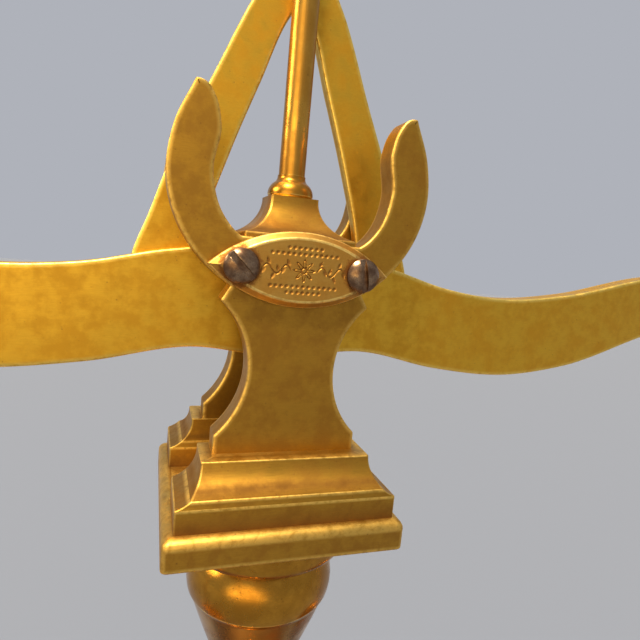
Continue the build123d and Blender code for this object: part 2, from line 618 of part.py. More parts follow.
def stirrup():
    """Two pear-shaped plates with vee-topped windows, joined by a cross bar, that hang on the end knife."""
    x, z, low = ARM_REACH, END_KNIFE_Z, END_KNIFE_Z - STIRRUP_DROP
    w, foot, r = STIRRUP_HALF_X, WINDOW_FOOT, STIRRUP_BAR_R
    side = shape((x - w, z), ((x, z + STIRRUP_RISE), (x + w, z)), (x + foot, low + 1),
                 ((x, low - r), (x - foot, low + 1)))
    vee, shoulder, sill = z + KNIFE_GAP, z - 2.9, z - WINDOW_DROP
    side -= shape((x, vee), (x + WINDOW_HALF, shoulder), (x + foot, sill), (x - foot, sill),
                  (x - WINDOW_HALF, shoulder))
    front, back = -ARM_FRONT - RUN_GAP, HARP_SIDE + RUN_GAP
    body = upright(side, front - STIRRUP_T, front) + upright(side, back, back + STIRRUP_T)
    body += rod(r, (x, front - STIRRUP_T, low), (x, back + STIRRUP_T, low))
    return body - rod(HOOK_WIRE_R + FIT, (x, HANGER_Y, low - r - 1), (x, HANGER_Y, low + r + 1))


def hook():
    """Wire hook: its shank is riveted through the cross bar, and its bend runs along X at the bottom."""
    x, y, r = ARM_REACH, HANGER_Y, HOOK_R
    top = END_KNIFE_Z - STIRRUP_DROP + STIRRUP_BAR_R
    neck, centre = top - 2 * STIRRUP_BAR_R - HOOK_NECK, HOOK_Z + r
    left, right, tip = (x - r, y, centre), (x + r, y, centre), (x - r - HOOK_TIP_X, y, centre + HOOK_TIP_Z)
    path = Polyline((x, y, top), (x, y, neck))
    down = (0, 0, -1)
    path += Spline((x, y, neck), (x + r * 0.55, y, (neck + centre) / 2), right, tangents=[down, down])
    path += ThreePointArc(right, (x, y, HOOK_Z), left)
    path += ThreePointArc(left, (left[0] - 0.6, y, centre + HOOK_TIP_Z * 0.55), tip)
    return sweep(Plane(origin=(x, y, top), z_dir=down) * Circle(HOOK_WIRE_R), path=path)


def bow_arch():
    """Three-centred arch: two long side arcs that run smoothly into a small top arc."""
    a, b, r = BOW_HALF, BOW_H, BOW_TOP_R
    side_r = (a * a + (b - r) ** 2 - r * r) / (2 * (a - r))
    side_centre = Vector(a - side_r, 0)
    reach = (Vector(0, b - r) - side_centre).normalized()
    join = side_centre + reach * side_r
    middle = side_centre + (reach + Vector(1, 0)).normalized() * side_r

    def flip(point):
        return (-point.X, point.Y)

    right = ThreePointArc((a, 0), (middle.X, middle.Y), (join.X, join.Y))
    top = ThreePointArc((join.X, join.Y), (0, b), flip(join))
    return right + top + ThreePointArc(flip(join), flip(middle), (-a, 0))


def bow():
    """Arched wire with an eye at its top and a carrying ring at its foot."""
    x, y = ARM_REACH, HANGER_Y
    plane = Plane(origin=(x, y, RING_Z), x_dir=(1, 0, 0), z_dir=(0, -1, 0))
    path = plane * bow_arch()
    start = Plane(origin=(x + BOW_HALF, y, RING_Z), z_dir=(0, 0, 1))
    body = sweep(start * Circle(BOW_WIRE_R), path=path)
    eye = Torus(EYE_HOLE_R + EYE_WIRE_R, EYE_WIRE_R)
    body += Pos(x, y, HOOK_Z) * Rot(0, 90, 0) * eye
    for sx in (-1, 1):
        body += rod(BOW_WIRE_R, (x + sx * RING_R, y, RING_Z), (x + sx * (BOW_HALF + BOW_WIRE_R), y, RING_Z))
    return body + Pos(x, y, RING_Z) * Torus(RING_R, RING_WIRE_R)


def pan():
    """Spun dish with a level rim, resting on the carrying ring."""
    seat, wall = RING_Z + RING_WIRE_R + FIT, PAN_WALL
    low = seat - PAN_DEPTH
    curve = low + PAN_DEPTH * 0.33
    r = RING_R - RING_WIRE_R - PAN_INSIDE
    floor_r = r - PAN_CURVE
    dish = shape((0, low), (floor_r, low), ((r - 6, curve), (r, seat)), (PAN_R, seat), (PAN_R, seat + wall),
                 (r - wall * 0.6, seat + wall), ((r - 6 - wall, curve + wall), (floor_r, low + wall)),
                 (0, low + wall))
    return Pos(ARM_REACH, HANGER_Y, 0) * turned(dish)


# ---------------------------------------------------------------- write the nodes
def main():
    """Build every piece and write it."""
    save("plinth", plinth())
    save("plinth_feet", *feet())
    save("column", column())
    save("tie_rod", tie_rod())
    save("tie_washer", tie_washer())
    save("tie_nut", tie_nut())
    save("square_plate", square_plate())
    save("standard_screws", *standard_screws())
    front = front_standard()
    save("front_standard", front)
    save("rear_standard", rear_copy(front))
    save("front_bearing", bearing())
    save("rear_bearing", rear_copy(bearing()))
    save("front_cap", cap())
    save("rear_cap", rear_copy(cap()))
    save("front_cap_screws", *cap_screws(FRONT_SLOT_TURNS))
    save("rear_cap_screws", *[rear_copy(screw) for screw in cap_screws(REAR_SLOT_TURNS)])
    save("bridge", bridge())
    save("bridge_dowels", *bridge_dowels())
    save("index_collar", index_collar())
    save("index_rod", index_rod())
    save("beam", beam_plate())
    save("centre_knife", centre_knife())
    save("harp", harp())
    save("harp_screws", *harp_screws())
    save("harp_finial", harp_finial())
    pieces = {"end_knife": end_knife(), "stirrup": stirrup(), "hook": hook(), "bow": bow(), "pan": pan()}
    for name, piece in pieces.items():
        right, left = both_sides(piece)
        save(f"right_{name}", right)
        save(f"left_{name}", left)


if __name__ == "__main__":
    main()
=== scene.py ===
"""Visual model of an equal-arm brass balance on a turned column.

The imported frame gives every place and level. The pieces that show are surfaces worked out with numpy around it,
in millimetres, and are turned to metres when their meshes are made. +Z is up, X runs along the beam, -Y is the
front.
"""
from __future__ import annotations

import json
import logging
import math
from dataclasses import dataclass, field
from enum import Enum
from typing import Any, Sequence

import bmesh
import bpy
import numpy as np
from mathutils import Matrix, Vector
from mathutils.geometry import delaunay_2d_cdt

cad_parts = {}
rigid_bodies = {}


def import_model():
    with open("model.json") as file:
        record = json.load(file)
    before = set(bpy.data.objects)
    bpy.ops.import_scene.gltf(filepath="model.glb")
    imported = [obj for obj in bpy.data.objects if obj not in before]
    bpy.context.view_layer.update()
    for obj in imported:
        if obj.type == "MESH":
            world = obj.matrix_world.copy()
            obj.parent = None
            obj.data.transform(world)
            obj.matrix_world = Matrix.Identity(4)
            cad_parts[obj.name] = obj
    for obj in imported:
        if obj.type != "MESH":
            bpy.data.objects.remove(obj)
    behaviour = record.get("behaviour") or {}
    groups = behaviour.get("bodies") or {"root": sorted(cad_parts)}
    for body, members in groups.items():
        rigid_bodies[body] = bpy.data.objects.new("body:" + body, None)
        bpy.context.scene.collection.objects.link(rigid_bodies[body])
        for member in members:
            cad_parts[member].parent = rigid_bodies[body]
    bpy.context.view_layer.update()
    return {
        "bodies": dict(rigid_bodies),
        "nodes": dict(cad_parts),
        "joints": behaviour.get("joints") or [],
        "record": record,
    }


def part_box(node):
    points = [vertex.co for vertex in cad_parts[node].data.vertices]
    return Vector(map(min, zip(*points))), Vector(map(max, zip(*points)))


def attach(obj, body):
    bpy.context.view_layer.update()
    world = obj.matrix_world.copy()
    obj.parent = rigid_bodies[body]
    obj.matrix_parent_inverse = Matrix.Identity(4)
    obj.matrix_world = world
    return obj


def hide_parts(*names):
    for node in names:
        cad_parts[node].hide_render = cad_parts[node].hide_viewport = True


LOG = logging.getLogger("balance")
MM = 0.001
Array = np.ndarray

# Sizes that more than one piece reads, in millimetres.
RING_WIRE = 1.6        # radius of a carrying ring's wire
CAP_RAISE = 2.2        # caps' centre above the centre knife's edge
CAP_THICKNESS = 2.2
CAP_SCREW_X = 10.65    # cap screws each side of the axis
CAP_SCREW_HALO = 3.1   # radius of the dirt round a cap screw

# How corners are rounded.
SHARP_DEGREES = 24.0   # a turn sharper than this is rounded
ROUND_SHARE = 0.45     # most of an edge that a rounding may take
GUARD_REACH = 1.5      # unworn guard point, in roundings from the corner
GUARD_SHARE = 0.48     # most of an edge that lies before a guard point


class Side(Enum):
    """Front or rear of the head, as the sign of Y."""

    FRONT = -1
    REAR = 1


class Hand(Enum):
    """Left or right of the column, as the sign of X."""

    LEFT = -1
    RIGHT = 1

    @property
    def word(self) -> str:
        """Name used in node and body names."""
        return self.name.lower()


# ------------------------------------------------------------------ curves, as arrays of points
def flowing(points: Sequence[Sequence[float]], per_span: int = 10, first: Sequence[float] | None = None,
            last: Sequence[float] | None = None) -> Array:
    """Smooth curve through points: a cubic between each two, whose slopes follow the neighbouring chords.

    Args:
        points: Places that the curve passes through.
        per_span: Steps between two places.
        first: Direction at the start, if it is set.
        last: Direction at the end, if it is set.

    Returns:
        The points along the curve, one row each.
    """
    p = np.asarray(points, float)
    chord = np.linalg.norm(np.diff(p, axis=0), axis=1)
    t = np.concatenate([[0.0], np.cumsum(chord)])
    slope = np.gradient(p, t, axis=0, edge_order=2 if len(p) > 2 else 1)
    for end, way in ((0, first), (-1, last)):
        if way is not None:
            slope[end] = np.asarray(way, float) / np.linalg.norm(way)
    s = np.linspace(0, 1, per_span, endpoint=False)[None, :, None]
    a, b = p[:-1, None], p[1:, None]
    m, n = slope[:-1, None] * chord[:, None, None], slope[1:, None] * chord[:, None, None]
    curve = (2 * s**3 - 3 * s**2 + 1) * a + (s**3 - 2 * s**2 + s) * m + (3 * s**2 - 2 * s**3) * b + (s**3 - s**2) * n
    return np.vstack([curve.reshape(-1, p.shape[1]), p[-1:]])


def arc_through(a: Sequence[float], b: Sequence[float], c: Sequence[float], steps: int = 16) -> Array:
    """Circular arc from a through b to c: the points at equal angles about the circle's centre.

    Args:
        a: Start of the arc.
        b: A point on the arc.
        c: End of the arc.
        steps: Number of steps along the arc.

    Returns:
        steps + 1 points.
    """
    a, b, c = (np.asarray(v, float) for v in (a, b, c))
    lhs = 2 * np.array([b - a, c - a])
    centre = np.linalg.solve(lhs, np.array([b @ b - a @ a, c @ c - a @ a]))
    angle = np.arctan2(*(np.array([a, b, c]) - centre).T[::-1])
    half = (angle[1] - angle[0] + math.pi) % (2 * math.pi) - math.pi
    whole = (angle[2] - angle[0]) % (2 * math.pi)
    if half < 0:
        whole -= 2 * math.pi
    turn = angle[0] + np.linspace(0, whole, steps + 1)
    return centre + np.linalg.norm(a - centre) * np.stack([np.cos(turn), np.sin(turn)], 1)


def joined(*runs: Any) -> Array:
    """Several runs of points as one, without a repeat where two runs meet."""
    points = np.vstack([np.atleast_2d(np.asarray(run, float)) for run in runs])
    step = np.linalg.norm(np.diff(points, axis=0), axis=1)
    return points[np.concatenate([[True], step > 1e-4])]


def eased(points: Array, radius: float, closed: bool, samples: int = 5) -> tuple[Array, Array]:
    """Round each sharp corner with a small parabola that starts and ends one radius away from it.

    Args:
        points: Outline or profile.
        radius: Distance from a corner at which its rounding starts.
        closed: Whether the last point joins the first.
        samples: Points along each rounding.

    Returns:
        The new points, and for each how much of a corner it is, from 0 to 1. Just beside a rounding it is 0, so
        that wear stays on the edge.
    """
    before, after = np.roll(points, 1, 0) - points, np.roll(points, -1, 0) - points
    lb, la = np.linalg.norm(before, axis=1), np.linalg.norm(after, axis=1)
    cosine = -(before * after).sum(1) / np.maximum(lb * la, 1e-12)
    sharp = cosine < math.cos(math.radians(SHARP_DEGREES))
    if not closed:
        sharp[[0, -1]] = False
    reach = np.minimum(radius, ROUND_SHARE * np.minimum(lb, la))[:, None]
    start = points + before / np.maximum(lb, 1e-9)[:, None] * reach
    end = points + after / np.maximum(la, 1e-9)[:, None] * reach
    s = np.linspace(0, 1, samples)[None, :, None]
    curve = (1 - s) ** 2 * start[:, None] + 2 * s * (1 - s) * points[:, None] + s**2 * end[:, None]
    beside_b, beside_a = (np.minimum(GUARD_REACH * radius, GUARD_SHARE * length) for length in (lb, la))
    first = points + before / np.maximum(lb, 1e-9)[:, None] * beside_b[:, None]
    last = points + after / np.maximum(la, 1e-9)[:, None] * beside_a[:, None]
    curve = np.concatenate([first[:, None], curve, last[:, None]], 1)
    keep = np.zeros((len(points), samples + 2), bool)
    keep[:, samples // 2] = True
    keep[sharp] = True
    curve[~sharp] = points[~sharp][:, None]
    corner = np.zeros((len(points), samples + 2))
    corner[sharp, 1:-1] = 1.0
    return curve[keep], corner[keep]


def both_halves(right: Array) -> Array:
    """Closed outline from its right half, which runs from the bottom centre up to the top centre."""
    left = right[::-1] * (-1, 1)
    return joined(right, left)[:-1]


def crossing(a: Array, along_a: Array, b: Array, along_b: Array) -> Array:
    """Where two lines cross, or the middle of their points if they run side by side."""
    turn = along_a[0] * along_b[1] - along_a[1] * along_b[0]
    if abs(turn) < 0.05 * np.linalg.norm(along_a) * np.linalg.norm(along_b):
        return (a + b) / 2
    gap = b - a
    return a + along_a * (gap[0] * along_b[1] - gap[1] * along_b[0]) / turn


def inset(outline: Array, distance: float, passes: int = 3) -> Array:
    """Outline moved inwards, each point along its two edges' normals, further at a corner.

    Where an edge would turn back on itself, its run of points is drawn together at the corner that the edges on
    both sides of the run make.

    Args:
        outline: Closed outline, anticlockwise.
        distance: How far each edge moves.
        passes: How often runs are drawn together.

    Returns:
        As many points as the outline has.
    """
    edge = np.roll(outline, -1, 0) - outline
    normal = np.stack([-edge[:, 1], edge[:, 0]], 1)
    normal /= np.maximum(np.linalg.norm(normal, axis=1), 1e-9)[:, None]
    both = normal + np.roll(normal, 1, 0)
    moved = outline + distance * 2 * both / np.maximum((both**2).sum(1), 0.5)[:, None]
    count = len(outline)
    for _ in range(passes):
        now = np.roll(moved, -1, 0) - moved
        back = ((now * edge).sum(1) < 0) & (np.linalg.norm(now, axis=1) > 1e-5)
        for start in np.flatnonzero(back & ~np.roll(back, 1)):
            length = 1
            while back[(start + length) % count] and length < count // 4:
                length += 1
            run = np.arange(start, start + length + 1) % count
            before, after = (start - 1) % count, run[-1]
            moved[run] = crossing(moved[run[0]], edge[before], moved[after], edge[after])
    return moved


def filled(outline: Array) -> list[list[int]]:
    """Triangles that fill a closed outline, hollow stretches included, by a constrained triangulation.

    Args:
        outline: Closed outline, anticlockwise.

    Returns:
        Triangles as numbers of the outline's points.
    """
    places, _, triangles, sources, _, _ = delaunay_2d_cdt(
        [Vector(point) for point in outline], [], [list(range(len(outline)))], 1, 1e-4)
    number = [source[0] if source else int(np.argmin(np.linalg.norm(outline - place, axis=1)))
              for place, source in zip(np.array(places), sources)]
    faces = [[number[i] for i in triangle] for triangle in triangles]
    return [face for face in faces if len(set(face)) == 3]


# ------------------------------------------------------------------ shells
@dataclass
class Shell:
    """A closed surface: its points in millimetres, its faces, how worn each point is, and how much dirt and painted
    shade it carries.
    """

    points: Array
    faces: list[Any]
    wear: Array
    grime: Array

    @classmethod
    def skin(cls, rings: Array, wear: Array | float = 0.0, grime: Array | float = 0.0, loop: bool = False,
             ends: list[list[int]] | None = None) -> Shell:
        """Carry a ring of points through space and close both ends with a flat face.

        Args:
            rings: Array of (rings, points in a ring, 3). Each ring runs anticlockwise, seen from where it goes.
            wear: Wear for each point, or for each ring, or one number.
            grime: Dirt and painted shade, in the same forms.
            loop: Whether the last ring joins the first, as on a torus, in place of end faces.
            ends: Triangles that fill a ring, where one flat face wouldn't because the ring is hollow somewhere.

        Returns:
            The shell.
        """
        k, n, _ = rings.shape
        index = np.arange(k * n).reshape(k, n)
        a = index if loop else index[:-1]
        b = np.roll(index, -1, 0) if loop else index[1:]
        quads = np.stack([a, np.roll(a, -1, 1), np.roll(b, -1, 1), b], -1).reshape(-1, 4)
        faces = quads.tolist()
        if not loop:
            fill = ends or [list(range(n))]
            faces += [index[0, face[::-1]].tolist() for face in fill]
            faces += [index[-1, face].tolist() for face in fill]
        return cls(rings.reshape(-1, 3), faces, cls._spread(wear, k, n), cls._spread(grime, k, n))

    @staticmethod
    def _spread(value: Array | float, k: int, n: int) -> Array:
        """Give each point of k rings of n points its own value."""
        value = np.asarray(value, float)
        if value.ndim == 1:
            value = value[:, None]
        return np.broadcast_to(value, (k, n)).reshape(-1).copy()

    def mirrored(self, axis: int) -> Shell:
        """The shell's mirror image across the plane where that axis is 0, with its faces turned the right way."""
        points = self.points.copy()
        points[:, axis] *= -1
        return Shell(points, [face[::-1] for face in self.faces], self.wear, self.grime)


def make_piece(name: str, shells: Sequence[Shell], material: bpy.types.Material) -> bpy.types.Object:
    """Make one smooth-shaded object from shells.

    Args:
        name: Name of the piece.
        shells: Its closed surfaces, in millimetres.
        material: Its finish.

    Returns:
        The new object, at the origin.
    """
    start = np.cumsum([0] + [len(shell.points) for shell in shells[:-1]])
    points = np.vstack([shell.points for shell in shells]) * MM
    faces = [[i + s for i in face] if s else face for shell, s in zip(shells, start) for face in shell.faces]
    mesh = bpy.data.meshes.new(name)
    mesh.from_pydata(points.tolist(), [], faces)
    mesh.polygons.foreach_set("use_smooth", np.ones(len(mesh.polygons), bool))
    for key in ("wear", "grime"):
        values = np.concatenate([getattr(shell, key) for shell in shells]).astype(np.float32)
        mesh.attributes.new(key, "FLOAT", "POINT").data.foreach_set("value", values)
    mesh.set_sharp_from_angle(angle=math.radians(50))
    mesh.materials.append(material)
    piece = bpy.data.objects.new(name, mesh)
    bpy.context.scene.collection.objects.link(piece)
    return piece


def eased_copy(node: bpy.types.Object, name: str, width: float, material: bpy.types.Material) -> bpy.types.Object:
    """Copy a CAD node, merge it, and round its edges with a bevel.

    Args:
        node: CAD node's object to copy.
        name: Name of the new piece.
        width: Rounding in millimetres.
        material: Its finish.

    Returns:
        The new object.
    """
    mesh = node.data.copy()
    mesh.name = name
    piece = bpy.data.objects.new(name, mesh)
    bpy.context.scene.collection.objects.link(piece)
    bm = bmesh.new()
    bm.from_mesh(mesh)
    bmesh.ops.remove_doubles(bm, verts=bm.verts, dist=2e-6)
    bmesh.ops.dissolve_limit(bm, angle_limit=math.radians(0.6), verts=bm.verts, edges=bm.edges)
    bmesh.ops.recalc_face_normals(bm, faces=bm.faces)
    bm.to_mesh(mesh)
    bm.free()
    mesh.polygons.foreach_set("use_smooth", np.ones(len(mesh.polygons), bool))
    mesh.set_sharp_from_angle(angle=math.radians(40))
    mesh.materials.clear()
    mesh.materials.append(material)
    bevel = piece.modifiers.new("rounded edges", "BEVEL")
    bevel.width = width * MM
    bevel.segments = 2
    bevel.limit_method = "ANGLE"
    bevel.angle_limit = math.radians(35)
    bevel.harden_normals = True
    return piece


def plate(outline: Array, back: float, front: float, rounding: float, land: float = 0.5,
          grime: float = 0.0) -> Shell:
    """Flat plate that stands in the X-Z plane, with rounded edges on both faces.

    Each ring is the outline, moved inwards by r (1 - sin a) as Y goes forwards by r (1 - cos a) round each edge.

    Args:
        outline: Closed outline as (X, Z), anticlockwise seen from the front.
        back: Y of the rear face.
        front: Y of the front face.
        rounding: Radius of the edges.
        land: Width of the border that is worn beside each edge.
        grime: Grime on the side wall.

    Returns:
        The plate's shell.
    """
    a = np.linspace(0, math.pi / 2, 4)
    inwards = np.concatenate([[rounding + land], rounding * (1 - np.sin(a)), [0.0]])
    y = np.concatenate([[back], back - rounding * (1 - np.cos(a)), [back - rounding - land]])
    wear = np.array([0.0, 0.55, 0.9, 1.0, 0.7, 0.0])
    inwards = np.concatenate([inwards, inwards[::-1]])
    y = np.concatenate([y, (front + back - y)[::-1]])
    wear = np.concatenate([wear, wear[::-1]])
    dirt = np.where(inwards < rounding * 0.2, grime, 0.0)
    rings = np.stack([inset(outline, d) for d in inwards])
    rings = np.stack([rings[..., 0], np.broadcast_to(y[:, None], rings.shape[:2]), rings[..., 1]], -1)
    return Shell.skin(rings, wear, dirt, ends=filled(rings[0][:, ::2]))


def turned(profile: Array, axis: tuple[float, float] = (0.0, 0.0), segments: int = 96, rounding: float = 0.3) -> Shell:
    """Turned piece: the profile (radius, height) carried round an upright axis.

    Args:
        profile: From the bottom centre, round the outside, to the top centre.
        axis: Place of the axis in X and Y.
        segments: Steps round the axis.
        rounding: Rounding of the profile's corners.

    Returns:
        The turned shell.
    """
    line, corner = eased(np.asarray(profile, float), rounding, closed=False)
    line[:, 0] = np.maximum(line[:, 0], 0.02)
    turn = np.linspace(0, 2 * math.pi, segments, endpoint=False)
    x = axis[0] + line[:, :1] * np.cos(turn)
    y = axis[1] + line[:, :1] * np.sin(turn)
    z = np.broadcast_to(line[:, 1:], x.shape)
    return Shell.skin(np.stack([x, y, z], -1), corner)


def pipe(path: Array, radius: float | Array, segments: int = 24, loop: bool = False) -> Shell:
    """Round wire along a path that lies in one plane: a circle square to the path at each of its points.

    Args:
        path: Points along the wire's centre line.
        radius: Radius, or one for each point.
        segments: Steps round the wire.
        loop: Whether the wire closes on itself.

    Returns:
        The wire's shell.
    """
    if loop:
        along = np.roll(path, -1, 0) - np.roll(path, 1, 0)
    else:
        along = np.gradient(path, axis=0)
    along /= np.linalg.norm(along, axis=1)[:, None]
    span = path - path.mean(0)
    flat = np.linalg.svd(span, full_matrices=False)[2][-1] if len(path) > 2 else np.array([0.0, 0.0, 1.0])
    if abs(along[0] @ flat) > 0.5:
        flat = np.array([0.0, 1.0, 0.0]) if abs(along[0, 1]) < 0.5 else np.array([1.0, 0.0, 0.0])
    u = np.broadcast_to(flat, path.shape)
    v = np.cross(along, u)
    v /= np.linalg.norm(v, axis=1)[:, None]
    turn = np.linspace(0, 2 * math.pi, segments, endpoint=False)[None, :, None]
    r = np.broadcast_to(np.asarray(radius, float), (len(path),))[:, None, None]
    rings = path[:, None] + r * (np.cos(turn) * u[:, None] + np.sin(turn) * v[:, None])
    return Shell.skin(rings, loop=loop)


def rectangles(levels: Array, corner: float, per_corner: int = 5) -> Shell:
    """Rectangular mouldings: at each level a rectangle with small round corners.

    Args:
        levels: Rows of (x low, x high, y low, y high, z, wear, dirt and painted shade), from the bottom up.
        corner: Radius of the corners in plan.
        per_corner: Points round each corner.

    Returns:
        The moulded shell.
    """
    levels = np.asarray(levels, float)
    quarter = np.linspace(0, math.pi / 2, per_corner)
    angle = np.concatenate([quarter + k * math.pi / 2 for k in range(4)])
    right = np.repeat([True, False, False, True], per_corner)
    far = np.repeat([True, True, False, False], per_corner)
    x = np.where(right, levels[:, 1:2] - corner, levels[:, 0:1] + corner) + corner * np.cos(angle)
    y = np.where(far, levels[:, 3:4] - corner, levels[:, 2:3] + corner) + corner * np.sin(angle)
    z = np.broadcast_to(levels[:, 4:5], x.shape)
    at_corner = np.abs(np.sin(2 * angle)) * 0.9
    wear = np.maximum(levels[:, 5:6], at_corner * 0.8)
    grime = np.broadcast_to(levels[:, 6:7], x.shape)
    return Shell.skin(np.stack([x, y, z], -1), wear, grime)


# ------------------------------------------------------------------ materials
def linear(code: str) -> tuple[float, float, float, float]:
    """sRGB hex colour as linear red, green, blue and alpha 1."""
    values = [int(code[i:i + 2], 16) / 255 for i in (1, 3, 5)]
    red, green, blue = (v / 12.92 if v <= 0.04045 else ((v + 0.055) / 1.055) ** 2.4 for v in values)
    return red, green, blue, 1.0


def add(tree: bpy.types.NodeTree, kind: str, links: dict[Any, Any] | None = None, **settings: Any) -> bpy.types.Node:
    """Add a node with its settings, and link or set its inputs.

    Args:
        tree: Node tree to add to.
        kind: Blender's name for the node type, without the leading ShaderNode.
        links: For each input's name or number, a socket to link or a value to set.
        **settings: Attributes of the node.

    Returns:
        The new node.
    """
    node = tree.nodes.new("ShaderNode" + kind)
    for key, value in settings.items():
        setattr(node, key, value)
    for key, value in (links or {}).items():
        if isinstance(value, bpy.types.NodeSocket):
            tree.links.new(value, node.inputs[key])
        else:
            node.inputs[key].default_value = value
    return node


def ramp(tree: bpy.types.NodeTree, source: bpy.types.NodeSocket, low: float, high: float, to_low: float = 0.0,
         to_high: float = 1.0) -> bpy.types.NodeSocket:
    """Map a value smoothly from one range to another and hold it there."""
    values = {0: source, 1: low, 2: high, 3: to_low, 4: to_high}
    return add(tree, "MapRange", values, interpolation_type="SMOOTHSTEP").outputs[0]


def blended(tree: bpy.types.NodeTree, amount: Any, first: Any, second: Any, mode: str = "MIX") -> bpy.types.NodeSocket:
    """Mix two colours by an amount."""
    node = add(tree, "Mix", {0: amount, 6: first, 7: second}, data_type="RGBA", blend_type=mode)
    return node.outputs[2]


def opened(name: str) -> tuple[bpy.types.Material, bpy.types.NodeTree, bpy.types.NodeSocket]:
    """Start a node material: the material, its empty tree, and Object coordinates in millimetres."""
    material = bpy.data.materials.new(name)
    material.use_nodes = True
    tree = material.node_tree
    tree.nodes.clear()
    place = add(tree, "TexCoord").outputs["Object"]
    return material, tree, add(tree, "VectorMath", {0: place, "Scale": 1 / MM}, operation="SCALE").outputs[0]


class Grain(Enum):
    """Which way a surface was filed, drawn or turned: the axis along which its scratches run."""

    ALONG_X = (0.06, 1.0, 1.0)
    ALONG_Y = (1.0, 0.06, 1.0)
    ALONG_Z = (1.0, 1.0, 0.06)
    ROUND_Z = (0.35, 0.35, 1.0)
    NONE = (1.0, 1.0, 1.0)


@dataclass(frozen=True)
class AgedMetal:
    """Toned metal: a base colour, darker patches, brighter rubbed edges, reddish tarnishing, pits, scratches, and
    painted shade where the mesh marks it.
    """

    name: str
    base: str
    toned: str
    rubbed: str
    tarnish_and_shade: str
    roughness: float
    grain: Grain = Grain.NONE
    patch_mm: float = 7.0
    scratch_mm: float = 0.22
    pit_mm: float = 1.1
    scratch_depth: float = 0.18
    pit_depth: float = 0.10
    tarnish_amount: float = 0.35
    wave_mm: float = 9.0
    wave_depth: float = 0.25
    dirt_at: tuple[tuple[float, float, float, float], ...] = field(default=())

    def material(self) -> bpy.types.Material:
        """Build the node material."""
        material, tree, in_mm = opened(self.name)
        along = add(tree, "VectorMath", {0: in_mm, 1: self.grain.value}, operation="MULTIPLY").outputs[0]
        patch = add(tree, "TexNoise", {"Vector": in_mm, "Scale": 1 / self.patch_mm, "Detail": 5.0,
                                       "Roughness": 0.62}).outputs[0]
        cloud = add(tree, "TexNoise", {"Vector": in_mm, "Scale": 2.7 / self.patch_mm, "Detail": 6.0,
                                       "Roughness": 0.7, "Distortion": 0.6}).outputs[0]
        scratch = add(tree, "TexNoise", {"Vector": along, "Scale": 1 / self.scratch_mm, "Detail": 2.0,
                                         "Roughness": 0.6}).outputs[0]
        pits = add(tree, "TexVoronoi", {"Vector": in_mm, "Scale": 1 / self.pit_mm, "Randomness": 1.0}).outputs[0]
        pitted = ramp(tree, pits, 0.05, 0.20, 1.0, 0.0)
        some = ramp(tree, cloud, 0.48, 0.62)
        pitted = add(tree, "Math", {0: pitted, 1: some}, operation="MULTIPLY").outputs[0]
        wear = add(tree, "Attribute", attribute_name="wear").outputs["Fac"]
        grime = add(tree, "Attribute", attribute_name="grime").outputs["Fac"]
        grime = self._halos(tree, in_mm, cloud, grime)
        colour = blended(tree, ramp(tree, patch, 0.36, 0.66), linear(self.base), linear(self.toned))
        streak = ramp(tree, scratch, 0.30, 0.75, 0.0, 0.45)
        colour = blended(tree, streak, colour, linear(self.toned))
        rub = add(tree, "Math", {0: wear, 1: ramp(tree, cloud, 0.30, 0.58, 0.25, 1.0)}, operation="MULTIPLY").outputs[0]
        colour = blended(tree, rub, colour, linear(self.rubbed))
        # Patches of tarnishing, with the dirt and the painted shade that the mesh carries, pull the colour towards the
        # reddish brown and make it rougher.
        stain_and_shade = ramp(tree, cloud, 0.56, 0.74, 0.0, self.tarnish_amount)
        stain_and_shade = add(tree, "Math", {0: stain_and_shade, 1: grime}, operation="MAXIMUM").outputs[0]
        colour = blended(tree, stain_and_shade, colour, linear(self.tarnish_and_shade))
        colour = blended(tree, add(tree, "Math", {0: pitted, 1: 0.5}, operation="MULTIPLY").outputs[0], colour,
                         linear(self.tarnish_and_shade))
        rough = ramp(tree, patch, 0.30, 0.70, self.roughness - 0.07, self.roughness + 0.09)
        rough = add(tree, "Math", {0: rough, 1: add(tree, "Math", {0: stain_and_shade, 1: 0.3},
                                                    operation="MULTIPLY").outputs[0]}, operation="ADD").outputs[0]
        wave = add(tree, "TexNoise", {"Vector": in_mm, "Scale": 1 / self.wave_mm, "Detail": 2.0}).outputs[0]
        bump = add(tree, "Bump", {"Strength": self.wave_depth, "Distance": 1.2 * MM, "Height": wave})
        bump = add(tree, "Bump", {"Strength": self.scratch_depth, "Distance": 0.05 * MM, "Height": scratch,
                                  "Normal": bump.outputs[0]})
        bump = add(tree, "Bump", {"Strength": self.pit_depth, "Distance": 0.15 * MM, "Height": pitted,
                                  "Normal": bump.outputs[0]}, invert=True)
        shader = add(tree, "BsdfPrincipled", {"Base Color": colour, "Metallic": 1.0, "Roughness": rough,
                                              "Normal": bump.outputs[0]})
        add(tree, "OutputMaterial", {"Surface": shader.outputs[0]})
        return material

    def _halos(self, tree: bpy.types.NodeTree, in_mm: bpy.types.NodeSocket, cloud: bpy.types.NodeSocket,
               grime: bpy.types.NodeSocket) -> bpy.types.NodeSocket:
        """Add grime round given places (x, y, z, radius), broken up by the cloud noise."""
        for x, y, z, radius in self.dirt_at:
            far = add(tree, "VectorMath", {0: in_mm, 1: (x, y, z)}, operation="DISTANCE").outputs["Value"]
            wobble = add(tree, "MapRange", {0: cloud, 1: 0.3, 2: 0.7, 3: -0.5, 4: 0.5}).outputs[0]
            far = add(tree, "Math", {0: far, 1: wobble}, operation="ADD").outputs[0]
            halo = ramp(tree, far, radius, radius + 0.9, 0.75, 0.0)
            grime = add(tree, "Math", {0: grime, 1: halo}, operation="MAXIMUM").outputs[0]
        return grime


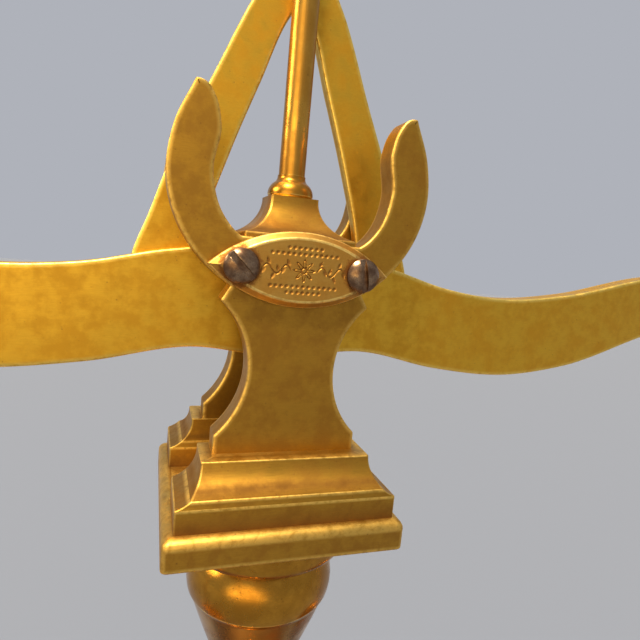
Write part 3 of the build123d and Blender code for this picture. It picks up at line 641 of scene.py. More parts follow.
@dataclass(frozen=True)
class WaxedWalnut:
    """Walnut board, planed and waxed: dark growth lines along X, fine open pores, a low sheen."""

    name: str = "waxed walnut"
    light: str = "#6B4326"
    dark: str = "#341D10"
    line_mm: float = 5.0
    pore_mm: float = 0.35
    roughness: float = 0.38

    def material(self) -> bpy.types.Material:
        """Build the node material."""
        material, tree, in_mm = opened(self.name)
        along = add(tree, "VectorMath", {0: in_mm, 1: (0.05, 1.0, 0.55)}, operation="MULTIPLY").outputs[0]
        wander = add(tree, "TexNoise", {"Vector": along, "Scale": 0.06, "Detail": 3.0}).outputs["Color"]
        wander = add(tree, "VectorMath", {0: wander, "Scale": 22.0}, operation="SCALE").outputs[0]
        bent = add(tree, "VectorMath", {0: along, 1: wander}, operation="ADD").outputs[0]
        lines = add(tree, "TexNoise", {"Vector": bent, "Scale": 1 / self.line_mm, "Detail": 6.0,
                                       "Roughness": 0.65}).outputs[0]
        thin = add(tree, "VectorMath", {0: in_mm, 1: (0.035, 1.0, 1.0)}, operation="MULTIPLY").outputs[0]
        pores = add(tree, "TexNoise", {"Vector": thin, "Scale": 1 / self.pore_mm, "Detail": 1.0}).outputs[0]
        open_pores = ramp(tree, pores, 0.60, 0.70)
        colour = blended(tree, ramp(tree, lines, 0.36, 0.64), linear(self.dark), linear(self.light))
        colour = blended(tree, add(tree, "Math", {0: open_pores, 1: 0.6}, operation="MULTIPLY").outputs[0], colour,
                         linear("#1E100A"))
        rough = ramp(tree, lines, 0.3, 0.7, self.roughness + 0.08, self.roughness - 0.04)
        bump = add(tree, "Bump", {"Strength": 0.25, "Distance": 0.08 * MM, "Height": open_pores}, invert=True)
        shader = add(tree, "BsdfPrincipled", {"Base Color": colour, "Roughness": rough, "Normal": bump.outputs[0]})
        shader.inputs["Coat Weight"].default_value = 0.25
        shader.inputs["Coat Roughness"].default_value = 0.3
        add(tree, "OutputMaterial", {"Surface": shader.outputs[0]})
        return material


@dataclass(frozen=True)
class PaleFloor:
    """Matt grey board under the object, as light as the sky once it is lit."""

    name: str = "grey matt board"
    colour: str = "#6C7383"

    def material(self) -> bpy.types.Material:
        """Build the node material."""
        material = bpy.data.materials.new(self.name)
        material.use_nodes = True
        shader = material.node_tree.nodes["Principled BSDF"]
        shader.inputs["Base Color"].default_value = linear(self.colour)
        shader.inputs["Roughness"].default_value = 0.9
        return material


# ------------------------------------------------------------------ the frame's levels
@dataclass(frozen=True)
class Levels:
    """Faces and heights that the pieces share, read from the frame, in millimetres."""

    floor: float
    plinth_top: float
    plate_bottom: float
    plate_top: float
    knife: float
    slot_half: float
    cheek_face: float
    arm_front: float
    harp_side: float
    harp_back: float
    arm_reach: float
    end_knife: float
    ring: float

    @classmethod
    def read(cls) -> Levels:
        """Read them from the nodes' boxes."""
        def low(node: str) -> Vector:
            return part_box(node)[0] / MM

        def high(node: str) -> Vector:
            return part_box(node)[1] / MM

        return cls(
            floor=low("plinth").z, plinth_top=high("plinth").z, plate_bottom=low("square_plate").z,
            plate_top=high("square_plate").z, knife=low("centre_knife").z, slot_half=-high("front_bearing").y,
            cheek_face=-low("front_bearing").y,
            arm_front=-low("beam").y, harp_side=low("harp").y, harp_back=high("harp").y,
            arm_reach=(low("right_end_knife").x + high("right_end_knife").x) / 2,
            end_knife=high("right_end_knife").z, ring=(low("right_bow").z + RING_WIRE))


@dataclass
class Workshop:
    """What every sub-assembly needs: the frame, its levels and the finishes."""

    frame: dict[str, Any]
    levels: Levels
    finishes: dict[str, bpy.types.Material]

    def place(self, piece: bpy.types.Object, body: str, slot: str, *nodes: str) -> bpy.types.Object:
        """Ride a piece on a body and let it stand for CAD nodes.

        Args:
            piece: The finished piece.
            body: CAD body that it moves with.
            slot: Material slot of the record; not used.
            *nodes: CAD nodes that it replaces.

        Returns:
            The piece.
        """
        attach(piece, body)
        if nodes:
            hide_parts(*nodes)
        LOG.info("%s rides on %s, %d faces", piece.name, body, len(piece.data.polygons))
        return piece


# ------------------------------------------------------------------ stand
@dataclass
class Plinth:
    """Walnut board with a hollow moulding, on four turned brass feet."""

    edge: float = 9.0
    corner: float = 1.2
    foot_r: float = 12.0
    foot_inset: float = 18.0

    def build(self, shop: Workshop) -> None:
        """Build the board and its feet."""
        low, high = (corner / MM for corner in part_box("plinth"))
        x, y = high.x, high.y
        shrink = joined((0, low.z), (0, high.z - self.edge),
                        arc_through((0, high.z - self.edge), (self.edge * 0.7071, high.z - self.edge * 0.2929 - 2.4),
                                    (self.edge, high.z)))
        line, corner = eased(shrink, 0.9, closed=False)
        ends = [(1.0, low.z, 0.0)]
        rows = [(s, z, c) for (s, z), c in zip(line, corner)] + [(self.edge + 0.8, high.z, 0.2)]
        levels = [(-x + s, x - s, -y + s, y - s, z, 0.5 * c, 0.0) for s, z, c in ends + rows]
        board = rectangles(np.array(levels), self.corner)
        shop.place(make_piece("plinth_board", [board], shop.finishes["walnut"]), "stand", "walnut", "plinth")
        h, r, waist = low.z, self.foot_r, self.foot_r * 0.6
        profile = joined((0, 0), arc_through((waist, 0), (r, h * 0.45), (waist, h)), (0, h))
        fx, fy = x - self.foot_inset, y - self.foot_inset
        feet = [turned(profile, (sx * fx, sy * fy), 64) for sx in (-1, 1) for sy in (-1, 1)]
        piece = make_piece("turned_feet", feet, shop.finishes["turned"])
        shop.place(piece, "stand", "turned_brass", "plinth_feet")


@dataclass
class Column:
    """Turned column: spreading foot, rings, long shaft, bulb and flange."""

    foot_r: float = 36.0
    shaft_foot_r: float = 11.5
    shaft_head_r: float = 8.8
    bulb_r: float = 14.6
    flange_r: float = 17.3
    flange_t: float = 4.6
    flange_lip: float = 2.0
    bead_below: float = 55.5
    bulb_below: float = 22.5
    bulb_foot_below: float = 35.0
    bulb_neck: float = 3.8

    def profile(self, base: float, top: float, plate_top: float) -> Array:
        """Half profile (radius, height) from the foot to the flange."""
        neck = top - self.flange_t - self.flange_lip
        bulb, under = plate_top - self.bulb_below, plate_top - self.bulb_foot_below
        foot, shoulder, ring, bead = self.foot_r, base + 17.0, base + 26.0, plate_top - self.bead_below
        shaft, head, big, flange = self.shaft_foot_r, self.shaft_head_r, self.bulb_r, self.flange_r
        ring_r = shaft + 4.5
        return joined(
            (0, base), (foot, base),
            arc_through((foot, base + 4), (foot - 2.4, base + 7.6), (foot - 6, base + 9)),
            arc_through((foot - 8, base + 9), (foot - 16, shoulder - 4), (ring_r + 0.5, shoulder + 4), 30),
            (ring_r - 1, shoulder + 4),
            arc_through((ring_r - 1, ring - 3), (ring_r + 1.6, ring), (ring_r - 1, ring + 3)),
            arc_through((shaft, ring + 5), (shaft + 0.6, ring + 45), (head, bead - 3), 40),
            arc_through((head + 2.6, bead - 1.5), (head + 3.6, bead), (head + 2.6, bead + 1.5), 10),
            (head, bead + 3),
            arc_through((head + 0.9, under), (big - 2.2, bulb - 5.5), (big - 0.5, bulb - 0.6), 24),
            arc_through((big, bulb), (big - 0.5, bulb + 6.5), (big - self.bulb_neck, neck), 24),
            arc_through((flange - 2.2, neck), (flange - 0.6, neck + 0.7), (flange, neck + 2.2), 10),
            (flange, top), (0, top))

    def build(self, shop: Workshop) -> None:
        """Build the column as one turned piece."""
        levels = shop.levels
        profile = self.profile(levels.plinth_top, levels.plate_bottom, levels.plate_top)
        shell = turned(profile, segments=160, rounding=0.35)
        piece = make_piece("turned_column", [shell], shop.finishes["column"])
        shop.place(piece, "stand", "turned_brass", "column")


@dataclass
class SquarePlate:
    """Square plate with softened upper edges."""

    corner: float = 0.9
    top_round: float = 1.5
    low_round: float = 0.45

    def build(self, shop: Workshop) -> None:
        """Build the plate, its upper edges rounder than its lower ones."""
        low, high = (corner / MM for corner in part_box("square_plate"))
        a = np.linspace(0, math.pi / 2, 6)
        under = np.stack([self.low_round * (1 - np.sin(a)), low.z + self.low_round * (1 - np.cos(a))], 1)
        over = np.stack([self.top_round * (1 - np.cos(a)), high.z - self.top_round * (1 - np.sin(a))], 1)
        wall = [(0.0, low.z + self.low_round + 0.5), (0.0, high.z - self.top_round - 0.5)]
        rows = np.vstack([under, wall, over, [(self.top_round + 0.6, high.z)]])
        wear = np.concatenate([np.full(len(under), 0.8), [0.0, 0.0], np.full(len(over), 0.65), [0.0]])
        half = high.x
        shrink, z = rows[:, 0], rows[:, 1]
        block = rectangles(np.stack([shrink - half, half - shrink, shrink - half, half - shrink, z, wear,
                                     np.zeros(len(z))], 1), self.corner)
        shop.place(make_piece("square_plate_body", [block], shop.finishes["cast"]), "stand", "cast_brass",
                   "square_plate")


@dataclass
class Standard:
    """One standard: a moulded foot under a waisted cheek whose wings carry two horns."""

    side: Side
    fascia_half: float = 19.3
    fascia_h: float = 5.5
    side_fascia_h: float = 4.1
    ledge_half: float = 15.2
    ledge_h: float = 10.3
    foot_half: float = 13.05
    foot_top: float = 13.5
    waist_half: float = 7.9
    waist_share: float = 0.515
    wing_half: float = 13.3
    wing_drop: float = 3.8
    crotch_half: float = 10.6
    crotch_rise: float = 7.1
    edge: float = 0.38

    def hollow(self, foot: float, middle: tuple[float, float]) -> tuple[Array, Array]:
        """Half profile of the moulding: upright face, then a hollow arc through middle up to the ledge."""
        top = (self.ledge_half, self.ledge_h)
        profile = joined((self.fascia_half, 0), (self.fascia_half, foot),
                         arc_through((self.fascia_half, foot), middle, top), (self.ledge_half - 2.0, self.ledge_h))
        return eased(profile, self.edge, closed=False)

    def moulded_foot(self, levels: Levels) -> Shell:
        """Half of the square foot: at each height a rectangle as wide and deep as its two profiles."""
        front, side, top = self.fascia_h, self.side_fascia_h, self.ledge_h
        along, worn_y = self.hollow(front, (self.ledge_half + 1.3, front + (top - front) * 0.42))
        across, worn_x = self.hollow(side, (self.ledge_half + 1.4, side + (top - side) * 0.28))
        z = np.unique(np.round(np.concatenate([along[:-1, 1], across[:-1, 1]]), 4))
        wx, wy = np.interp(z, across[:-1, 1], across[:-1, 0]), np.interp(z, along[:-1, 1], along[:-1, 0])
        worn = np.maximum(np.interp(z, across[:, 1], worn_x), np.interp(z, along[:, 1], worn_y))
        z, wx, wy = np.append(z, top), np.append(wx, along[-1, 0]), np.append(wy, along[-1, 0])
        worn = np.append(worn, 0.0)
        # Painted shade: a darkened band on the hollow just above the fascia; the thin dark line at the bottom is the
        # joint where the foot stands on the plate.
        grime = 0.5 * np.exp(-((z - front - 0.9) / 0.7) ** 2) + 0.7 * np.exp(-(z / 0.35) ** 2)
        inner = np.full(len(z), -levels.slot_half)
        return rectangles(np.stack([-wx, wx, -wy, inner, z + levels.plate_top, worn, grime], 1), self.edge)

    def outline(self, z: float, knife: float) -> Array:
        """Cheek's outline: foot and waist above the plate's top z, wings, notches and horns about the knife."""
        notch, tip, shoulder = (11.8, knife - 1.3), (19.3, knife + 30.5), (16.6, knife + 29.1)
        crotch, low, foot = (self.crotch_half, knife + self.crotch_rise), z + self.ledge_h - 1.0, z + self.foot_top
        wing = knife - self.wing_drop
        outer = flowing([notch, (16.6, knife + 2.3), (21.0, knife + 8.4), (23.1, knife + 16.5),
                         (22.2, knife + 23.5), tip], 10, (1, 0.62), (-0.4, 1))
        inner = flowing([shoulder, (15.0, knife + 24.3), (15.8, knife + 17.0), (13.9, knife + 10.5), crotch],
                        10, (-0.75, -1), (-1, -0.55))
        waist = (self.waist_half, foot + self.waist_share * (wing - foot))
        right = joined((0, low), (self.foot_half, low), (self.foot_half, foot),
                       arc_through((self.foot_half, foot), waist, (self.wing_half, wing), 40),
                       outer, arc_through(tip, (18.1, knife + 30.4), shoulder, 8), inner, (0, crotch[1]))
        return eased(both_halves(right), 0.3, closed=True)[0]

    def build(self, shop: Workshop) -> None:
        """Build both shells of the casting on their side of the slot."""
        levels = shop.levels
        outline = self.outline(levels.plate_top, levels.knife)
        cheek = plate(outline, -levels.slot_half - 0.05, -levels.cheek_face, self.edge)
        shells = [self.moulded_foot(levels), cheek]
        if self.side is Side.REAR:
            shells = [shell.mirrored(1) for shell in shells]
        word = self.side.name.lower()
        piece = make_piece(f"{word}_standard_casting", shells, shop.finishes["cheek"])
        shop.place(piece, "stand", "cast_brass", f"{word}_standard")


@dataclass
class Cap:
    """Eye-shaped bearing cap with a bevelled rim and a plain engraved ornament."""

    side: Side
    half: float = 16.0
    rise: float = 6.5
    centre_rise: float = CAP_RAISE
    thickness: float = CAP_THICKNESS
    bevel: float = 1.1
    groove: float = 0.14

    def eye(self, grow: Array, steps: int) -> tuple[Array, Array]:
        """Points of the eye shape, one ring for each grow: two circular arcs that meet in points."""
        x_half = (self.half + 1.9 * grow)[:, None]
        z_half = (self.rise + grow)[:, None]
        radius = (x_half**2 + z_half**2) / (2 * z_half)
        lean = np.arcsin(x_half / radius)
        turn = np.linspace(-1, 1, steps, endpoint=False)[None, :]
        x = radius * np.sin(turn * lean)
        z = radius * np.cos(turn * lean) - (radius - z_half)
        return np.hstack([x, -x]), np.hstack([-z, z])

    def ornament(self, x: Array, z: Array) -> Array:
        """Depth of the engraving: a rosette, two leafy stems and two rows of punched dots."""
        def line(distance: Array, width: float) -> Array:
            return np.clip(1.2 - distance / width, 0, 1)

        ax = np.abs(x)
        r, turn = np.hypot(x, z), np.arctan2(z, x)
        petal = line(np.abs(r - 1.15 - 0.62 * np.cos(8 * turn)), 0.22) * (r < 2.1)
        petal = np.maximum(petal, line(np.abs(r - 0.45), 0.17))
        reach = (ax > 2.3) & (ax < 7.4)
        stem_z = 0.75 * np.sin((ax - 2.3) * 1.9)
        stem = line(np.abs(z - stem_z), 0.20) * reach
        step = 0.85
        number = np.round((ax - 2.7) / step)
        base = 2.7 + number * step
        flip = np.where(number % 2 == 0, 1.0, -1.0)
        along, across = ax - base - 0.2, z - 0.75 * np.sin((base - 2.3) * 1.9) - flip * 0.72
        leaf = line(np.hypot(along * 1.0 - across * flip * 0.4, across * 0.62) - 0.10, 0.26) * reach
        dot_step = 0.95
        dots = np.zeros_like(x)
        for row, limit in ((2.75, 6.0), (-2.75, 6.0), (3.75, 3.2), (-3.75, 3.2)):
            near = np.round(x / dot_step) * dot_step
            dots = np.maximum(dots, line(np.hypot(x - near, z - row) - 0.10, 0.24) * (ax < limit))
        return self.groove * np.maximum.reduce([petal, stem, leaf, dots])

    def build(self, shop: Workshop) -> None:
        """Build the cap from the back, over its bevel, to the middle of its face."""
        back = -shop.levels.cheek_face + 0.02
        shoulder, face = -shop.levels.cheek_face - self.thickness + self.bevel, -shop.levels.cheek_face - self.thickness
        line, corner = eased(np.array([(0.0, back), (0.0, shoulder), (-self.bevel, face), (-self.bevel - 0.7, face)]),
                             0.22, closed=False)
        fine = self.side is Side.FRONT
        steps, rings = (300, 96) if fine else (120, 16)
        shrink = np.linspace(1, 0.004, rings)
        x_rim, z_rim = self.eye(np.array(line[:, 0]), steps)
        x = np.vstack([x_rim, shrink[1:, None] * x_rim[-1]])
        z = np.vstack([z_rim, shrink[1:, None] * z_rim[-1]])
        y = np.concatenate([line[:, 1], np.full(rings - 1, face)])[:, None] * np.ones_like(x)
        wear = np.concatenate([corner, np.zeros(rings - 1)])[:, None] * np.ones_like(x)
        cut = self.ornament(x, z) if fine else np.zeros_like(x)
        cut[:len(line)] = 0
        y += cut
        grime = np.clip(cut / self.groove, 0, 1) * 0.55
        grime[0] = 0.8
        shell = Shell.skin(np.stack([x, y, z + shop.levels.knife + self.centre_rise], -1), wear, grime)
        if self.side is Side.REAR:
            shell = shell.mirrored(1)
        word = self.side.name.lower()
        shop.place(make_piece(f"{word}_eye_cap", [shell], shop.finishes["cap"]), "stand", "cap_brass", f"{word}_cap")
        screws = eased_copy(shop.frame["nodes"][f"{word}_cap_screws"], f"{word}_domed_screws", 0.16,
                            shop.finishes["screw"])
        shop.place(screws, "stand", "brown_screw_steel", f"{word}_cap_screws")


@dataclass
class Index:
    """Hollow-sided bridge, domed collar and upright index rod."""

    neck: float = 4.5
    foot_t: float = 0.9
    collar_r: float = 4.35
    band: float = 0.5
    dome: float = 2.9
    rod_r: float = 2.5
    point: float = 9.0

    def bridge(self, shop: Workshop) -> None:
        """Build the saddle: a rectangle at each height, whose four sides are hollow arcs."""
        low, high = (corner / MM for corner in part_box("bridge"))
        foot, top = low.z + self.foot_t, high.z
        middle = (self.neck + 1.5, foot + (top - foot) * 0.36)

        def side(half: float) -> tuple[Array, Array]:
            run = joined((half, low.z), (half, foot), arc_through((half, foot), middle, (self.neck, top), 20))
            return eased(run, 0.3, closed=False)

        (wx, corner), (wy, _) = side(high.x), side(high.y)
        # Painted shade: a darkened band on the hollow sides just above the foot.
        grime = 0.6 * np.exp(-((wx[:, 1] - foot - 0.4) / 0.8) ** 2)
        rows = np.stack([-wx[:, 0], wx[:, 0], -wy[:, 0], wy[:, 0], wx[:, 1], 0.8 * corner, grime], 1)
        piece = make_piece("hollow_bridge", [rectangles(rows, 0.45)], shop.finishes["cast"])
        shop.place(piece, "stand", "cast_brass", "bridge")

    def build(self, shop: Workshop) -> None:
        """Build the bridge, the collar and the rod."""
        self.bridge(shop)
        low, high = (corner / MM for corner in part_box("index_collar"))
        r, band, top, bore = self.collar_r, low.z + self.band, high.z, self.rod_r * 0.8
        crown, lip = (self.rod_r + 0.65, low.z + self.dome), (self.rod_r + 0.17, top)
        collar = joined((bore, low.z), (r - 0.25, low.z), (r, band),
                        arc_through((r, band), (r - 0.3, band + 1.4), crown),
                        arc_through(crown, (self.rod_r + 0.3, crown[1] + 0.45), lip), (bore, top))
        piece = make_piece("domed_collar", [turned(collar, segments=80, rounding=0.25)], shop.finishes["turned"])
        shop.place(piece, "stand", "turned_brass", "index_collar")
        low, high = (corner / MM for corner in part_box("index_rod"))
        shoulder, tip, r = high.z - self.point, high.z, self.rod_r
        rod = joined((0, low.z), (r, low.z), (r * 0.985, shoulder),
                     arc_through((r * 0.985, shoulder), (r * 0.45, shoulder + self.point * 0.35), (0.3, tip)), (0, tip))
        piece = make_piece("pointed_index_rod", [turned(rod, segments=48, rounding=0.2)], shop.finishes["rod"])
        shop.place(piece, "stand", "drawn_brass", "index_rod")


# ------------------------------------------------------------------ beam
@dataclass
class Beam:
    """Swan-necked beam, the harp behind it, its crown and its knob."""

    end_r: float = 6.5
    boss_rise: float = 6.05
    knife_rise: float = 4.0
    harp_rise: float = 55.5
    crown_r: float = 7.5
    edge: float = 0.42

    def arms(self, levels: Levels) -> Array:
        """Outline of both arms: the wave of the lower edge, the round eye and the wave of the upper edge."""
        z, reach = levels.knife, levels.arm_reach
        end = levels.end_knife - self.knife_rise / 2
        eye_low, eye_top = (reach - 3.5, end - 5.4), (reach - 3.5, end + 5.4)
        low = flowing([(0, z - 15.5), (17, z - 13.9), (35, z - 17.1), (53, z - 18.4), (70, z - 16.1),
                       (reach * 0.58, z - 6.7), (reach * 0.76, z - 1.1), eye_low], 12, (1, 0), (1, -0.2))
        top = flowing([eye_top, (reach * 0.74, z + 9.1), (reach * 0.56, z + 7.1), (68, z + 0.9), (52, z - 0.9),
                       (36, z + 0.4), (22, z + 3.7), (9, z + self.boss_rise - 0.5), (0, z + self.boss_rise)],
                      12, (-1, 0.45), (-1, 0))
        right = joined(low, arc_through(eye_low, (reach + self.end_r, end), eye_top, 20), top)
        return both_halves(right)

    def bands(self, levels: Levels) -> Array:
        """Outline of the harp: down the inner edges, round the feet and up the outer edges."""
        z = levels.knife
        join = (5.6, z + self.harp_rise + 2.0)
        inner = flowing([(0, z + 52.1), (1.9, z + 49.0), (6.6, z + 36.5), (11.7, z + 22.0), (15.6, z + 8.5),
                         (16.6, z + 0.5)], 10, (0.5, -1), (0.02, -1))
        outer = flowing([(28.5, z + 0.5), (25.3, z + 10.5), (21.6, z + 22.0), (15.3, z + 36.5), (9.4, z + 50.2), join],
                        10, (-0.15, 1), (-0.35, 1))
        right = joined(inner, arc_through((16.6, z + 0.5), (22.5, z - 5.2), (28.5, z + 0.5)), outer,
                       (0, join[1]))
        return both_halves(right)

    def build(self, shop: Workshop) -> None:
        """Build the arms, the harp with its crown, and the knob."""
        levels, finish = shop.levels, shop.finishes["beam"]
        arms = plate(self.arms(levels), levels.harp_side, -levels.arm_front, self.edge)
        shop.place(make_piece("swan_neck_beam", [arms], finish), "balance_beam", "beam_brass", "beam")
        bands = plate(self.bands(levels), levels.harp_back, levels.harp_side, self.edge)
        turn = np.linspace(0, 2 * math.pi, 96, endpoint=False)
        centre = levels.knife + self.harp_rise + self.crown_r * 0.6
        circle = np.stack([np.cos(turn), np.sin(turn)], 1) * self.crown_r + (0, centre)
        crown = plate(circle, levels.harp_back + 0.3, levels.harp_side - 0.1, self.edge)
        boss = plate((circle - (0, centre)) * 0.55 + (0, centre), levels.harp_back + 1.0, levels.harp_back, 0.4)
        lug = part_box("harp")[1].z / MM
        half = 2.2
        stub = rectangles(np.array([(-half, half, levels.harp_side, levels.harp_back, z, 0.3, 0.0)
                                    for z in (centre, lug)]), 0.3)
        piece = make_piece("harp_frame", [bands, crown, boss, stub], finish)
        shop.place(piece, "balance_beam", "beam_brass", "harp")
        low, high = (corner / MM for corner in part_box("harp_finial"))
        z, y = low.z, (levels.harp_side + levels.harp_back) / 2
        knob = joined((0, z), (1.2, z), arc_through((1.0, z + 1.6), (3.1, z + 4.4), (1.2, z + 7.4), 24),
                      arc_through((1.2, z + 7.4), (0.6, z + 8.7), (0.3, high.z)), (0, high.z))
        piece = make_piece("crown_knob", [turned(knob, (0.0, y), 64, 0.2)], shop.finishes["turned"])
        shop.place(piece, "balance_beam", "turned_brass", "harp_finial")


@dataclass
class Hanger:
    """What hangs from one end of the beam: stirrup, hook, bow with its carrying ring, and pan."""

    hand: Hand
    hook_r: float = 6.0
    hook_wire: float = 1.5
    hook_drop: float = 40.0
    stirrup_drop: float = 17.0
    bar_r: float = 2.6
    eye_hole: float = 2.6
    eye_wire: float = 1.5
    bow_half: float = 64.0
    bow_h: float = 200.0
    bow_top_r: float = 16.0
    ring_r: float = 55.0
    pan_r: float = 60.0
    pan_depth: float = 15.0
    pan_wall: float = 1.0

    def centre(self, levels: Levels) -> tuple[float, float]:
        """Axis of the hanger for the right hand, as X and Y."""
        return levels.arm_reach, (levels.harp_side - levels.arm_front) / 2

    def hook(self, levels: Levels) -> list[Shell]:
        """Shank through the bar, a swung neck, the half-round bend and a turned-out tip with a small ball."""
        x, y = self.centre(levels)
        r = self.hook_r
        top = levels.end_knife - self.stirrup_drop + self.bar_r
        neck, centre = top - 2 * self.bar_r - 2.0, levels.end_knife - self.hook_drop + r
        path = joined([(x, top), (x, (top + neck) / 2)],
                      flowing([(x, neck), (x + r * 0.55, (neck + centre) / 2), (x + r, centre)], 10, (0, -1), (0, -1)),
                      arc_through((x + r, centre), (x, centre - r), (x - r, centre), 28),
                      arc_through((x - r, centre), (x - r - 0.6, centre + 2.2), (x - r - 2.2, centre + 4.0), 8))
        radius = self.hook_wire * np.clip(np.linspace(9.0, 0.0, len(path)) ** 0.5, 0.62, 1.0)
        wire = pipe(np.insert(path, 1, y, axis=1), radius)
        ball_z, ball_x = path[-1, 1], path[-1, 0]
        turn = np.linspace(-math.pi / 2, math.pi / 2, 14)
        ball = turned(np.stack([1.5 * np.cos(turn), 1.5 * np.sin(turn) + ball_z], 1), (ball_x, y), 24, 0.05)
        return [wire, ball]

    def arch(self) -> Array:
        """Three-centred arch: two long side arcs that run smoothly into a small top arc."""
        a, b, r = self.bow_half, self.bow_h, self.bow_top_r
        side_r = (a * a + (b - r) ** 2 - r * r) / (2 * (a - r))
        end = math.atan2(b - r, side_r - a)
        turn = np.linspace(0, end, 60)
        side = np.stack([a - side_r + side_r * np.cos(turn), side_r * np.sin(turn)], 1)
        top = arc_through(side[-1], (0, b), side[-1] * (-1, 1), 24)
        return joined(side, top, side[::-1] * (-1, 1))

    def bow(self, levels: Levels) -> list[Shell]:
        """Arched wire, the eye above it, the carrying ring, its two lugs and the small balls on them."""
        x, y = self.centre(levels)
        z = levels.ring
        shells = [pipe(np.insert(self.arch(), 1, 0, axis=1) + (x, y, z), 1.5)]
        turn = np.linspace(0, 2 * math.pi, 160, endpoint=False)
        around = np.stack([np.cos(turn), np.sin(turn)], 1)
        ring = np.insert(around * self.ring_r, 2, 0, axis=1) + (x, y, z)
        shells.append(pipe(ring, RING_WIRE, loop=True))
        eye = np.insert(around[::3] * (self.eye_hole + self.eye_wire), 0, 0, axis=1)
        shells.append(pipe(eye + (x, y, levels.end_knife - self.hook_drop), self.eye_wire, loop=True))
        quarter = np.linspace(-math.pi / 2, math.pi / 2, 16)
        for sign in (-1, 1):
            run = np.linspace(self.ring_r, self.bow_half + 1.5, 4)
            shells.append(pipe(np.stack([x + sign * run, np.full(4, y), np.full(4, z)], 1), 1.5))
            ball = np.stack([2.6 * np.cos(quarter), 2.6 * np.sin(quarter) + z], 1)
            shells.append(turned(ball, (x + sign * self.bow_half, y), 32, 0.05))
        return shells

    def pan(self, levels: Levels) -> list[Shell]:
        """Spun dish: flat floor, round wall, level rim with a rolled edge, and back inside."""
        x, y = self.centre(levels)
        seat = levels.ring + RING_WIRE + 0.05
        inner, bottom, t, d = self.ring_r - RING_WIRE - 1.2, seat - self.pan_depth, self.pan_wall, self.pan_depth
        roll_r, roll_z, roll = self.pan_r - 0.9, seat + t - 0.1, 0.95
        turn = np.linspace(-2.2, 2.4, 16)
        rolled = np.stack([roll_r + roll * np.cos(turn), roll_z + roll * np.sin(turn)], 1)
        flat = inner - 22
        profile = joined((0, bottom), arc_through((flat, bottom), (inner - 6, bottom + d * 0.33), (inner, seat), 30),
                         rolled, arc_through((inner - t * 0.6, seat + t), (inner - 7, bottom + d * 0.33 + t),
                                             (flat, bottom + t), 30), (0, bottom + t))
        return [turned(profile, (x, y), 192, 0.5)]

    def build(self, shop: Workshop) -> None:
        """Build the right-hand pieces, or their mirror images for the left hand."""
        word, levels = self.hand.word, shop.levels
        jobs = (("wire_hook", self.hook(levels), "drawn", f"{word}_hanger", "drawn_brass", f"{word}_hook"),
                ("bow_and_ring", self.bow(levels), "drawn", f"{word}_carrier", "drawn_brass", f"{word}_bow"),
                ("spun_pan", self.pan(levels), f"{word}_pan", f"{word}_dish", "spun_brass", f"{word}_pan"))
        for label, shells, finish, body, slot, node in jobs:
            if self.hand is Hand.LEFT:
                shells = [shell.mirrored(0) for shell in shells]
            shop.place(make_piece(f"{word}_{label}", shells, shop.finishes[finish]), body, slot, node)
        stirrup = eased_copy(shop.frame["nodes"][f"{word}_stirrup"], f"{word}_pear_stirrup", 0.3,
                             shop.finishes["drawn"])
        shop.place(stirrup, f"{word}_hanger", "drawn_brass", f"{word}_stirrup")


